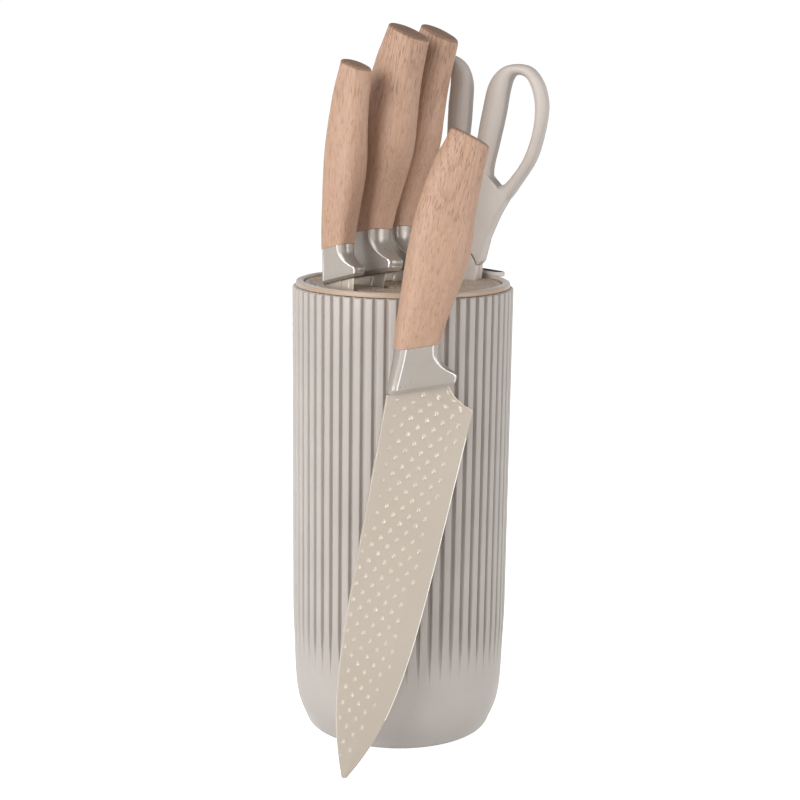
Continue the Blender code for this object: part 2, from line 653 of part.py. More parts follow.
def chef_matrix():
    """Frame of the knife that stands on its tip and leans on the rim."""
    lean = Matrix.Rotation(-CHEF_LEAN_BACK, 4, "X") @ Matrix.Rotation(CHEF_LEAN_SIDE, 4, "Y")
    return Matrix.Translation(CHEF_ORIGIN) @ lean @ Matrix.Rotation(CHEF_YAW, 4, "Z")


# Scissors ------------------------------------------------------------------------------------

def bow_rings(side):
    """Sections around a finger bow, spanning its outer and inner outline."""
    rings = []
    for outer, inner in zip(smooth_loop(BOW_OUTER, 2), smooth_loop(BOW_INNER, 2)):
        middle, half = (outer + inner) / 2, (outer - inner) / 2
        ring = []
        for i in range(8):
            angle = 2 * math.pi * (i + 0.5) / 8
            reach = math.copysign(abs(math.cos(angle)) ** 0.7, math.cos(angle))
            depth = math.copysign(abs(math.sin(angle)) ** 0.7, math.sin(angle))
            point = middle + half * reach * 1.06
            ring.append((side * BOW_SPREAD * point.x * MM, 1.06 * HANDLE_HALF_THICKNESS * depth * MM,
                         point.y * MM))
        rings.append(ring)
    return rings


def hub_arc(radius, start, end, steps):
    """Points of an arc about the pivot, in degrees from +X."""
    angles = [math.radians(start + (end - start) * i / steps) for i in range(steps + 1)]
    return [(radius * math.cos(a), PIVOT_HEIGHT + radius * math.sin(a)) for a in angles]


def mirrored(outline, side):
    return [(side * x * MM, z * MM) for x, z in outline]


def build_scissor_handle(name, side, layer, mat, parent, location):
    """Finger bow, full-thickness shank above the hub and half-thickness hub plate.

    side is 1 for the bow on the right; layer is -1 for the plate in front, 1 behind.
    """
    handle = add_object(name, loft(bow_rings(side), closed=True), mat)
    half = HANDLE_HALF_THICKNESS * MM
    arc = hub_arc(HUB_RADIUS + HUB_GAP, 22, 88, 8)
    outer = HANDLE_HALF_THICKNESS * layer * MM
    inner = (BLADE_LAYER[1] + GAP / MM) * layer * MM
    low, high = min(outer, inner), max(outer, inner)
    hub = [(min(max(x, -HUB_HALF_WIDTH), HUB_HALF_WIDTH), z) for x, z in hub_arc(HUB_RADIUS, -16, 196, 24)]
    joined = [add_object("shank", prism(mirrored(arc + list(SHANK_OUTLINE), side), -half, half)),
              add_object("hub", prism(mirrored(hub + list(HUB_FOOT), side), low, high)),
              add_object("strap", prism(mirrored(STRAP_OUTLINE, side), low, high))]
    for shape in joined:
        boolean(handle, shape, "UNION")
    apply_modifiers(handle, joined)
    sink = outer - layer * (PIVOT_HEAD_HEIGHT + 0.3) * MM
    cutters = [pivot_cutter("pivot_bore", PIVOT_SHAFT + 0.3, -half * 2, half * 2),
               pivot_cutter("pivot_sink", PIVOT_HEAD + 0.3, sink, outer + layer * 2 * MM),
               tang_pocket(side, layer)]
    finish_cuts(handle, cutters)
    attach(handle, parent, location)


def pivot_cutter(name, radius, low, high):
    cutter = add_object(name, turned_along_y([(radius * MM, y) for y in sorted((low, high))]))
    cutter.location = (0, 0, PIVOT_HEIGHT * MM)
    return cutter


def tang_outline(side, margin):
    """Outline of the blade's tang inside the shank, with some room around it."""
    points = []
    for i, (x, z) in enumerate(SCISSOR_TANG):
        outward = margin if i in (1, 2, 3) else -margin
        points.append((x + outward, z + margin if z > 30 else z))
    return mirrored(points, side)


def tang_pocket(side, layer):
    near, far = BLADE_LAYER
    faces = sorted((layer * near * MM - layer * GAP, layer * far * MM + layer * GAP))
    return add_object("tang_pocket", prism(tang_outline(side, TANG_MARGIN), *faces))


def build_scissor_blade(name, side, layer, mat, parent, location):
    """Pressed steel blade; it crosses the pivot and ends on the side opposite its bow."""
    outline = [(x, PIVOT_HEIGHT + z) for x, z in SCISSOR_BLADE]
    faces = sorted(layer * y * MM for y in BLADE_LAYER)
    blade = add_object(name, prism(mirrored(outline, side), *faces), mat)
    tang = add_object("tang", prism(tang_outline(side, 0.0), *faces))
    boolean(blade, tang, "UNION")
    apply_modifiers(blade, [tang])
    finish_cuts(blade, [pivot_cutter("blade_bore", PIVOT_SHAFT + 0.3, -9 * MM, 9 * MM)])
    attach(blade, parent, location)


def attach(obj, parent, location):
    """Hang a finished piece in its frame; the mesh keeps its place about the deck line."""
    obj.data.transform(Matrix.Translation(location))
    obj.parent = parent


def build_pivot(mats, parent):
    """Screw with a flush head in front and a flush nut behind."""
    half = HANDLE_HALF_THICKNESS * MM
    head = PIVOT_HEAD_HEIGHT * MM
    radius = PIVOT_HEAD * MM
    shaft = PIVOT_SHAFT * MM
    steps = ((radius, -half), (radius, -half + head), (shaft, -half + head), (shaft, half - 0.2 * MM))
    add_object("pivot_screw", turned_along_y(steps), mats["steel"], parent, (0, 0, PIVOT_HEIGHT * MM))
    nut = add_object("pivot_nut", turned_along_y(((radius, half - head), (radius, half))), mats["steel"])
    nut.location = (0, 0, PIVOT_HEIGHT * MM)
    finish_cuts(nut, [pivot_cutter("nut_bore", PIVOT_SHAFT + 0.3, 0, half * 2)])
    nut.parent = parent


def build_scissors(mats, parent):
    """Two halves; the right half turns about the pivot's frame."""
    lean = Matrix.Rotation(SCISSORS_LEAN, 4, "Y")
    matrix = Matrix.Translation(SCISSORS_ORIGIN) @ Matrix.Rotation(SCISSORS_YAW, 4, "Z") @ lean
    frame = empty("scissors_frame", matrix, parent)
    pivot = Vector((0, 0, PIVOT_HEIGHT * MM))
    hinge = empty("scissors_pivot_frame", Matrix.Translation(pivot), frame)
    build_scissor_handle("scissor_handle_left", -1, -1, mats["shell"], frame, (0, 0, 0))
    build_scissor_blade("scissor_blade_left", -1, -1, mats["steel"], frame, (0, 0, 0))
    build_scissor_handle("scissor_handle_right", 1, 1, mats["shell"], hinge, -pivot)
    build_scissor_blade("scissor_blade_right", 1, 1, mats["steel"], hinge, -pivot)
    build_pivot(mats, frame)


def main():
    for obj in list(bpy.data.objects):
        bpy.data.objects.remove(obj)
    mats = {
        "shell": material("greige_plastic", (0.62, 0.57, 0.52), 0.5),
        "tan": material("tan_plastic", (0.55, 0.42, 0.32), 0.45),
        "silicone": material("base_silicone", (0.35, 0.32, 0.30), 0.8),
        "steel": material("plain_steel", (0.6, 0.6, 0.6), 0.3, 1.0),
        "blade": material("champagne_coated_steel", (0.62, 0.55, 0.44), 0.4, 0.3),
        "bolster": material("glossy_greige", (0.52, 0.48, 0.41), 0.2),
        "wood": material("beech", (0.62, 0.38, 0.26), 0.55),
    }
    block = empty("block_frame", Matrix.Identity(4))
    lid = empty("lid_frame", Matrix.Identity(4), block)
    build_shell(mats["shell"], block)
    build_base(mats, block)
    build_lid_ring(mats["tan"], lid)
    build_deck(mats["tan"], lid)
    build_lid_details(mats, lid)
    for name, seat in SEATED_KNIVES.items():
        build_knife(name, mats, seated_matrix(seat), lid)
    build_knife("chef", mats, chef_matrix(), block)
    build_scissors(mats, lid)


main()
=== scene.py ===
"""Looks of the fluted knife block, its knives and scissors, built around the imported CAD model.

Metres, +Z up, -Y is the front. Knife frames: local X runs from the spine to the cutting edge,
local Y is the thickness, local Z runs up the handle. Section tables are in millimetres.
"""
import math

import bmesh
import bpy
import numpy as np
from mathutils import Matrix, Vector


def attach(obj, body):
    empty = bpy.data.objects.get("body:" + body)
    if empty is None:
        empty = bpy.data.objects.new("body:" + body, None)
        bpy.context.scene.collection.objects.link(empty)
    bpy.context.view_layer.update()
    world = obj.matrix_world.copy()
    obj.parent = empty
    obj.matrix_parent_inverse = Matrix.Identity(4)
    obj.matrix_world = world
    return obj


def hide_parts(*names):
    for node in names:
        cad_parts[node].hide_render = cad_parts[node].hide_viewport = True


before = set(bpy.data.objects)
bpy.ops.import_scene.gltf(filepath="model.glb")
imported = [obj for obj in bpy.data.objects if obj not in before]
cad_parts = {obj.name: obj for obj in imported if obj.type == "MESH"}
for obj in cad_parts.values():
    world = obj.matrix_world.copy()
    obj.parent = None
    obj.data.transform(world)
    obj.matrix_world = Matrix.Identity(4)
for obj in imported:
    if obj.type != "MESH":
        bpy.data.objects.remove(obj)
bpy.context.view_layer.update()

MM = 0.001

# Camera, which stands in front and looks a little down
CAMERA_PLACE = (0.0, -0.8947, 0.3576)
CAMERA_TURN = 0.0009
CAMERA_TILT = math.pi / 2 - 0.1920
CAMERA_ROLL = 0.0128
CAMERA_LENS = 74.52
CAMERA_SENSOR = 36.0

# Block shell
SHELL_RADIUS = 60.0
SHELL_TOP = 247.0
WALL_TAPER = 0.012
FLUTES = 60
FLUTE_PHASE = math.radians(-1.74)
GROOVE_DEPTH = 2.3
GROOVE_SHOULDER = 1.42              # half width of a groove at its rounded shoulders
GROOVE_FLOOR = 0.5                  # half width of its floor
GROOVE_COLUMNS = (0.0, 0.25, 0.5, 0.64, 0.8, 0.97, 1.18, 1.42, 1.8, 2.3)
GROOVE_RUN = (18.0, 68.0)           # heights between which a groove gets its full depth
LAND_CROWN = 0.10
# height and how far the foot lies inside the straight wall
FOOT = ((0.5, 10.6), (1.3, 9.0), (3.0, 7.8), (6.0, 6.6), (10.0, 4.9), (15.0, 3.2), (21.0, 2.1), (28.0, 1.5),
        (36.0, 1.1), (46.0, 0.8), (56.0, 0.4), (64.0, 0.1), (72.0, 0.0))
RIM_BEVEL = ((1.0, 0.0), (0.6, 0.12), (0.25, 0.4), (0.0, 0.9))
# height and radius down the inside
SHELL_INSIDE = ((247.0, 57.4), (247.0, 56.3), (246.5, 55.8), (60.0, 55.8), (26.0, 55.8), (20.0, 54.8),
                (15.0, 53.0), (10.5, 50.6), (8.0, 48.0), (8.0, 38.2), (7.8, 38.0), (4.6, 38.0), (4.6, 46.5),
                (0.5, 46.5))

# Lid
LID_TOP = 250.0
DECK_TOP = 248.8
DECK_THICKNESS = 2.8
DECK_RADIUS = 53.6
RING_PROFILE = ((55.3, 232.0), (55.3, 235.7), (54.0, 235.7), (54.0, 239.7), (55.3, 239.7), (55.3, 247.3),
                (57.8, 247.3), (58.1, 247.6), (58.1, 249.3), (57.9, 249.75), (57.4, 250.0), (54.5, 250.0),
                (54.1, 249.8), (53.9, 249.4), (53.9, 245.7), (50.0, 245.7), (50.0, 243.3), (52.7, 240.3),
                (52.7, 232.0))
RIM_SHEEN_FACE = 249.6                    # above this the rim's top face gets a pale tone painted as sheen
DECK_EDGE = 0.35                    # width and drop of the chamfer round the deck
DECK_CELL = 0.62
DECK_COLUMNS = 420
RIPPLE_PITCH = 5.2
RIPPLE_DEPTH = 0.45
RIPPLE_BORDER = (1.2, 2.0)          # plain strip inside the deck's edge, width the ripple grows over
TAB_ANGLE = math.radians(35.0)
TAB_RING = 56.9
TAB_HALF_LENGTH = 14.6
TAB_HALF_WIDTH = 3.9
# inset from the outline and height above the lid, up the side, over the wall and into the recess
TAB_LEVELS = ((0.25, 0.1), (0.0, 0.35), (0.0, 2.1), (0.15, 2.5), (0.45, 2.7), (0.8, 2.7), (1.05, 2.55),
              (1.15, 2.2), (1.2, 0.9), (1.5, 0.6))
TAB_RECESS_LEVEL = 6                # from here on the surface lies in the recess
TAB_STEPS = 16

# Slots in the deck
SLOT_YAW = math.radians(-43.0)
SLOT_HALF_WIDTH = 3.5
SLOT_CORNER = 3.2
CHEF_SLOT = (-21.0, -26.0, 26.0)    # offset in front of the centre, then start and end along the slot
SCISSOR_SLOT = (15.0, 5.7, 2.4)     # half length, half width, corner
# height above the deck's underside and growth of the outline, up a slot's wall and its chamfer
SLOT_LEVELS = ((-2.0, 0.0), (DECK_THICKNESS - 0.7, 0.0), (DECK_THICKNESS - 0.35, 0.08),
               (DECK_THICKNESS + 0.15, 0.5), (DECK_THICKNESS + 2.0, 2.2))

# Knives: offset of the slot, start of the spine along it, lean to +X in degrees, slot start and end,
# height of the bolster above the deck
SEATED = {
    "utility": (44.5, -15.2, 2.9, -18.5, 10.0, 0.8),
    "bread": (22.0, -20.8, 7.6, -25.0, 11.5, 1.4),
    "carving": (-4.5, -28.6, 9.6, -33.0, 5.0, 1.7),
}
CHEF_ORIGIN = (-7.5, -76.4, 201.2)
CHEF_LEAN_SIDE = math.radians(9.6)
CHEF_LEAN_BACK = math.radians(4.1)
CHEF_YAW = math.radians(12.0)
# share of the chef's knife's length, width and bolster height
KNIFE_SIZES = {"chef": (1.0, 1.0, 1.0), "utility": (0.875, 0.885, 0.9), "bread": (1.003, 1.045, 1.03),
               "carving": (1.01, 1.0, 1.02)}
END_SLANT = 0.318
# height, back edge, finger edge, thickness, width of the facets beside the back and the finger edge
BOLSTER_SECTIONS = ((2.3, 0.0, 33.6, 10.6, 3.7, 1.5), (4.6, 0.0, 33.7, 10.7, 3.7, 1.6),
                    (6.2, 0.0, 32.8, 11.0, 3.8, 1.9), (8.6, 0.0, 29.6, 11.6, 3.9, 2.5),
                    (12.1, 0.0, 25.9, 12.6, 4.0, 3.2), (16.6, 0.0, 22.9, 14.0, 4.1, 3.9),
                    (20.0, -0.1, 22.0, 14.9, 4.2, 4.2), (23.45, -0.2, 21.6, 15.6, 4.2, 4.4))
BOLSTER_CHAMFER = ((0.0, 1.0, 33.0, 7.2, 3.0, 1.2), (0.15, 0.6, 33.3, 7.8, 3.3, 1.3),
                   (1.95, 0.1, 33.7, 10.4, 3.7, 1.5))
FACET_SLOPE = 0.28                  # share of the thickness lost across a facet
FACET_STEPS = 10
CREASE_HALF = 0.3                   # half width of the rounding along a crease
# height of the section's middle, back edge, finger edge, thickness, slant, roundness exponent
HANDLE_SECTIONS = ((27.0, -0.2, 21.7, 15.7, 0.318, 3.8), (32.5, -0.7, 22.3, 17.4, 0.26, 3.3),
                   (39.0, -1.3, 23.1, 19.0, 0.20, 2.9), (53.0, -1.9, 25.6, 21.8, 0.10, 2.5),
                   (68.0, -2.5, 28.2, 23.4, 0.0, 2.35), (79.0, -2.5, 29.0, 23.4, -0.03, 2.35),
                   (91.0, -1.8, 28.4, 22.2, -0.08, 2.35), (105.0, 0.2, 27.9, 20.6, -0.15, 2.35),
                   (117.0, 2.8, 28.0, 19.8, -0.22, 2.35), (127.0, 6.2, 28.5, 19.2, -0.28, 2.35),
                   (131.6, 7.7, 28.7, 18.7, -0.30, 2.4))
HANDLE_START = 23.5
# rise above the last section and inset, round the butt's edge and over its dome
BUTT = ((0.9, 0.12), (1.5, 0.38), (1.95, 0.8), (2.25, 1.35), (2.45, 2.4), (2.7, 4.4), (2.85, 7.2))
HANDLE_POINTS = 72

# Blades: length, width at the heel, straight taper, tip height above the spine line, width of the
# blunt point, exponent of the belly, where the edge starts beside the bolster, scallop pitch
BLADES = {
    "chef": (201.5, 46.0, 11.0, 13.0, 2.6, 6.2, 30.7, 0.0),
    "bread": (198.0, 27.5, 1.0, 9.0, 0.8, 11.0, 27.5, 9.0),
    "carving": (196.0, 29.0, 4.0, 8.0, 0.8, 7.0, 29.0, 0.0),
    "utility": (127.0, 21.5, 3.0, 7.0, 0.8, 6.0, 21.5, 0.0),
}
SPINE_DROP_START = 0.45
SPINE_DROP_EXPONENT = 3.2
SPINE_HALF = 1.1
EDGE_HALF = 0.06
GROUND_HALF = 0.24                  # half thickness where the ground edge starts
GROUND_WIDTH = 0.45
GROUND_SPAN = (0.10, 0.84)          # shares of the length between which the edge is bare steel
BEVEL_WIDTH = 11.0
PLAIN_STRIP = (9.0, 0.35, 0.45)     # width without dimples, share of the length it grows over, exponent
LEAST_STRIP = 1.5                   # its width at the heel
SCALLOP_DEPTH = 1.1
DIMPLE_COLUMN = 4.22
DIMPLE_PITCH = 8.38
DIMPLE_PHASE = (0.4, 0.32)          # shares of the column spacing and the pitch at the lattice's start
DIMPLE_HALF = (1.0, 1.65)
DIMPLE_FADE = ((2.0, 13.0), (0.3, 1.0))     # distances from the spine, and shares of the full depth there
FADE_END = ((50.0, 95.0), (0.0, 11.0))      # distances down the blade, and how far the fade has moved out
DIMPLE_DEPTH = 0.30
DIMPLE_BOWL = 1.2                   # exponent of the bowl's profile
DIMPLE_MARGIN = 1.0                 # plain metal left beside the spine and the bolster
BLADE_CELL = 0.42
# height, slant and share of the heel's reach, down the curve beside the bolster
HEEL_CURVE = ((-0.3, END_SLANT, 0.0), (-1.2, 0.17, 0.26), (-1.8, 0.08, 0.58), (-2.4, 0.02, 0.95))
HEEL_END = 0.02                     # share of the length where that curve meets the straight edge
DIMPLE_HIGHLIGHT_DEPTH = 0.15                 # a dimple gets the painted highlight where it is deeper than this
TANG = (5.6, 17.2, 92.0)            # spine side, edge side and top
TANG_FOOT = -1.0
TANG_SHARE = 0.98                   # its thickness beside the spine's

# Scissors
SCISSORS_ORIGIN = (29.0, 25.7, 249.0)
SCISSORS_YAW = math.radians(-25.0)
SCISSORS_LEAN = math.radians(7.1)
BOW_SPREAD = 1.07
PIVOT_HEIGHT = 4.0
PIVOT_SINK = (4.7, 3.6, 9.0)        # radius, and the distances of floor and mouth from the mid-plane
PIVOT_POINTS = 40
HUB_RADIUS = 14.4
HUB_GAP = 0.4
HUB_HALF_WIDTH = 13.4
HANDLE_HALF = 5.0
PLATE_NEAR = 2.4
BOW_OUTER = ((3.2, 58.0), (2.4, 78.0), (3.2, 95.0), (4.8, 108.0), (10.0, 116.6), (18.2, 120.2),
             (26.6, 119.2), (33.6, 112.0), (37.6, 101.0), (37.8, 88.0), (35.6, 72.0), (29.6, 58.0),
             (22.4, 46.0), (11.0, 44.0))
BOW_INNER = ((13.2, 62.0), (14.4, 76.0), (15.8, 92.0), (16.2, 105.0), (17.4, 112.6), (20.6, 114.6),
             (25.2, 112.8), (29.2, 106.0), (31.4, 97.0), (31.6, 85.0), (29.0, 71.6), (24.4, 61.6),
             (20.0, 55.4), (15.2, 55.6))
SHANK_OUTLINE = ((1.0, 40.0), (2.8, 60.0), (13.0, 59.0), (20.3, 53.0), (25.2, 48.2), (20.9, 38.4),
                 (17.1, 25.5), (15.4, 12.0))
STRAP_OUTLINE = ((4.0, 12.0), (11.5, 10.0), (14.6, 12.0), (16.0, 25.0), (6.0, 25.0))
BOW_POINTS = 20
BOW_ROUNDNESS = 0.78                # 1 gives an ellipse, less a squarer section
HUB_FOOT = ((-10.5, -3.5), (-8.5, -10.0), (8.5, -10.0), (10.5, -3.5))
HUB_LIP = (11.9, 14.2, -3.5, 0.2)   # across from and to, lowest point, distance from the mid-plane
VOXEL = 0.45                        # cell of the remesh that melts the handle's parts together

# Linear colours, and the beech's pattern
SHELL_COLOUR = (0.535, 0.487, 0.448)
SCISSOR_COLOUR = (0.590, 0.530, 0.480)
# pale tone painted as sheen: on the rim's top face it stands for light grazing the tan plastic, on the tab
# it lightens the greige plastic
PALE_SHEEN_COLOUR = (0.620, 0.570, 0.530)
TAN_COLOUR = (0.460, 0.335, 0.235)
# painted shade: the inside of the tab's recess is coloured dark brown for the shadow in it
RECESS_SHADE_COLOUR = (0.100, 0.045, 0.030)
DECK_COLOUR = (0.480, 0.370, 0.285)
BOLSTER_COLOUR = (0.360, 0.320, 0.280)
BLADE_DARK = (0.475, 0.410, 0.340)
BLADE_LIGHT = (0.500, 0.435, 0.362)
BEECH_TONES = ((0.450, 0.245, 0.155), (0.540, 0.330, 0.222), (0.580, 0.362, 0.250))
END_GRAIN_AND_SHADE = 0.62                    # brightness of the butts beside the sides: end grain, darkened further as painted shade on the tops
FLECK_COLOUR = (0.200, 0.090, 0.055)
RING_CENTRE = (-0.010, 0.0, -0.021)
RING_FADE = (0.085, 0.130)          # heights between which the ring lines come out
GRAIN_SHIFT = (0.31, 0.17, 0.23)    # keeps the knives from sharing one pattern
BEECH_BRIGHTNESS = (1.0, 0.94, 0.96, 1.0)

# Light: angle from the front towards the right, distance and height of each lamp, width, length, power
LAMPS = {
    "key_left": (-47.0, 1.85, 0.90, 1.6, 1.4, 36.0),
    "fill_right": (68.0, 1.85, 0.75, 0.8, 1.4, 14.5),
    "glint_front": (-6.0, 1.50, 0.40, 0.07, 1.1, 2.0),
    "glint_right": (44.0, 1.50, 0.40, 0.07, 1.1, 2.0),
}
LAMP_TARGET = (0.0, 0.0, 0.19)
FLOOR_GLOW = 0.85
FLOOR_HALF = 20.0                   # metres
WORLD_STRENGTH = 1.02
# height of the direction, from straight down at 0 to straight up at 1, and brightness
SKY = ((0.0, 0.18), (0.482, 0.18), (0.488, 1.0), (0.60, 1.0), (0.65, 0.22), (1.0, 0.16))


# Shader helpers ------------------------------------------------------------------------------

class Graph:
    """A Principled material whose colour, roughness and bump come from procedural nodes."""

    def __init__(self, name, roughness=0.5, metallic=0.0):
        self.material = bpy.data.materials.new(name)
        self.material.use_nodes = True
        self.tree = self.material.node_tree
        self.shader = self.tree.nodes["Principled BSDF"]
        self.shader.inputs["Roughness"].default_value = roughness
        self.shader.inputs["Metallic"].default_value = metallic
        self.place = self.tree.nodes.new("ShaderNodeTexCoord").outputs["Object"]

    def add(self, kind, inputs=None, **settings):
        node = self.tree.nodes.new(kind)
        for key, value in settings.items():
            setattr(node, key, value)
        for key, value in (inputs or {}).items():
            self.feed(node.inputs[key], value)
        return node

    def feed(self, socket, value):
        if isinstance(value, bpy.types.NodeSocket):
            self.tree.links.new(value, socket)
        else:
            socket.default_value = value

    def stretched(self, scale, place=(0, 0, 0)):
        """The object's own coordinates, stretched for a directional pattern."""
        inputs = {"Vector": self.place, "Scale": scale, "Location": place}
        return self.add("ShaderNodeMapping", inputs).outputs[0]

    def noise(self, scale, detail=2.0, vector=None, distortion=0.0, roughness=0.5):
        inputs = {"Vector": vector or self.place, "Scale": scale, "Detail": detail,
                  "Distortion": distortion, "Roughness": roughness}
        return self.add("ShaderNodeTexNoise", inputs).outputs["Fac"]

    def ramp(self, factor, stops):
        """A colour ramp from (position, colour) stops; a colour may be one grey value."""
        node = self.add("ShaderNodeValToRGB", {"Fac": factor})
        set_stops(node, stops)
        return node.outputs["Color"]

    def mix(self, factor, first, second, blend="MIX"):
        node = self.tree.nodes.new("ShaderNodeMix")
        node.data_type = "RGBA"
        node.blend_type = blend
        self.feed(node.inputs["Factor"], factor)
        self.feed(node.inputs[6], first if not isinstance(first, tuple) else (*first, 1.0))
        self.feed(node.inputs[7], second if not isinstance(second, tuple) else (*second, 1.0))
        return node.outputs[2]

    def maths(self, operation, first, second=0.0):
        node = self.add("ShaderNodeMath", operation=operation)
        self.feed(node.inputs[0], first)
        self.feed(node.inputs[1], second)
        return node.outputs[0]

    def bump(self, height, distance, strength=1.0, base=None):
        node = self.add("ShaderNodeBump", {"Height": height, "Distance": distance, "Strength": strength})
        if base:
            self.feed(node.inputs["Normal"], base)
        return node.outputs["Normal"]

    def finish(self, colour, roughness=None, normal=None):
        self.feed(self.shader.inputs["Base Color"], colour)
        if roughness is not None:
            self.feed(self.shader.inputs["Roughness"], roughness)
        if normal is not None:
            self.feed(self.shader.inputs["Normal"], normal)
        return self.material


def set_stops(node, stops):
    elements = node.color_ramp.elements
    while len(elements) < len(stops):
        elements.new(0.5)
    for element, (position, colour) in zip(elements, stops):
        element.position = position
        element.color = (*colour, 1.0) if isinstance(colour, tuple) else (colour, colour, colour, 1.0)


def shade(colour, factor):
    return tuple(c * factor for c in colour)


def moulded_plastic(name, colour, rough, grain=0.02, spread=0.05):
    """Moulded plastic with a fine spark-eroded grain and faint cloudy colour."""
    g = Graph(name)
    cloud = g.noise(22.0, 3.0)
    base = g.ramp(cloud, ((0.3, shade(colour, 1 - spread)), (0.7, shade(colour, 1 + spread))))
    fine = g.noise(1500.0, 3.0, roughness=0.7)
    speck = g.ramp(g.noise(4200.0, 1.0), ((0.35, 0.93), (0.62, 1.0)))
    base = g.mix(1.0, base, speck, "MULTIPLY")
    gloss = g.ramp(g.noise(60.0, 4.0), ((0.3, rough - 0.04), (0.7, rough + 0.05)))
    return g.finish(base, gloss, g.bump(fine, grain * MM))


def rubber(name, colour):
    """Dull silicone with a dusty bloom."""
    g = Graph(name)
    bloom = g.noise(90.0, 5.0, roughness=0.7)
    base = g.ramp(bloom, ((0.3, shade(colour, 0.85)), (0.75, shade(colour, 1.2))))
    rough = g.ramp(bloom, ((0.3, 0.72), (0.7, 0.9)))
    return g.finish(base, rough, g.bump(g.noise(2600.0, 2.0), 0.03 * MM))


def brushed_steel(name, colour, stretch, rough=0.26):
    """Steel with fine scratches along one direction."""
    g = Graph(name, metallic=1.0)
    lines = g.noise(1.0, 4.0, g.stretched(stretch), roughness=0.75)
    base = g.ramp(lines, ((0.3, shade(colour, 0.82)), (0.7, colour)))
    gloss = g.ramp(lines, ((0.3, rough - 0.07), (0.7, rough + 0.13)))
    return g.finish(base, gloss, g.bump(lines, 0.012 * MM))


def coated_blade():
    """Champagne non-stick coating, satin with a fine orange peel."""
    g = Graph("champagne_coating", metallic=0.30)
    cloud = g.noise(20.0, 2.0)
    base = g.ramp(cloud, ((0.3, BLADE_DARK), (0.7, BLADE_LIGHT)))
    sparkle = g.ramp(g.noise(5200.0, 1.0), ((0.3, 0.90), (0.6, 1.0)))
    base = g.mix(1.0, base, sparkle, "MULTIPLY")
    peel = g.noise(1900.0, 3.0, roughness=0.6)
    gloss = g.ramp(g.noise(120.0, 4.0), ((0.3, 0.22), (0.7, 0.26)))
    return g.finish(base, gloss, g.bump(peel, 0.003 * MM))


def crease_highlight_paint():
    """Painted highlight along a crease: lacquer coloured far lighter than the bolster, standing for the
    light its rounded edge catches.
    """
    g = Graph("crease_highlight_paint", metallic=0.3)
    base = g.ramp(g.noise(80.0, 3.0), ((0.3, 0.70), (0.7, 0.78)))
    return g.finish(base, g.ramp(g.noise(300.0, 2.0), ((0.3, 0.22), (0.7, 0.30))))


def dimple_highlight_paint():
    """The same coating in the pressed dimples, glossier, with a lighter colour painted in as their
    highlight.
    """
    g = Graph("dimple_painted_highlight", metallic=0.45)
    base = g.ramp(g.noise(60.0, 3.0), ((0.3, shade(BLADE_LIGHT, 1.05)), (0.7, shade(BLADE_LIGHT, 1.2))))
    gloss = g.ramp(g.noise(500.0, 2.0), ((0.3, 0.16), (0.7, 0.22)))
    return g.finish(base, gloss, g.bump(g.noise(1900.0, 2.0), 0.003 * MM))


def ground_edge():
    """Bare steel of the ground edge, with scratches across it."""
    g = Graph("ground_edge_steel", metallic=0.9)
    lines = g.noise(1.0, 3.0, g.stretched((220.0, 220.0, 5200.0)), roughness=0.7)
    base = g.ramp(lines, ((0.3, (0.60, 0.58, 0.55)), (0.7, (0.78, 0.76, 0.72))))
    gloss = g.ramp(lines, ((0.3, 0.30), (0.7, 0.42)))
    return g.finish(base, gloss, g.bump(lines, 0.004 * MM))


def glossy_bolster():
    """Warm grey lacquered metal, smooth with faint swirls."""
    g = Graph("bolster_lacquer", metallic=0.35)
    g.shader.inputs["Coat Weight"].default_value = 0.25
    g.shader.inputs["Coat Roughness"].default_value = 0.16
    swirl = g.noise(40.0, 3.0, distortion=0.6)
    base = g.ramp(swirl, ((0.3, shade(BOLSTER_COLOUR, 0.96)), (0.7, shade(BOLSTER_COLOUR, 1.04))))
    speck = g.ramp(g.noise(3600.0, 1.0), ((0.35, 0.95), (0.6, 1.0)))
    base = g.mix(1.0, base, speck, "MULTIPLY")
    gloss = g.ramp(g.noise(260.0, 4.0), ((0.3, 0.27), (0.7, 0.34)))
    return g.finish(base, gloss, g.bump(g.noise(300.0, 2.0), 0.004 * MM))


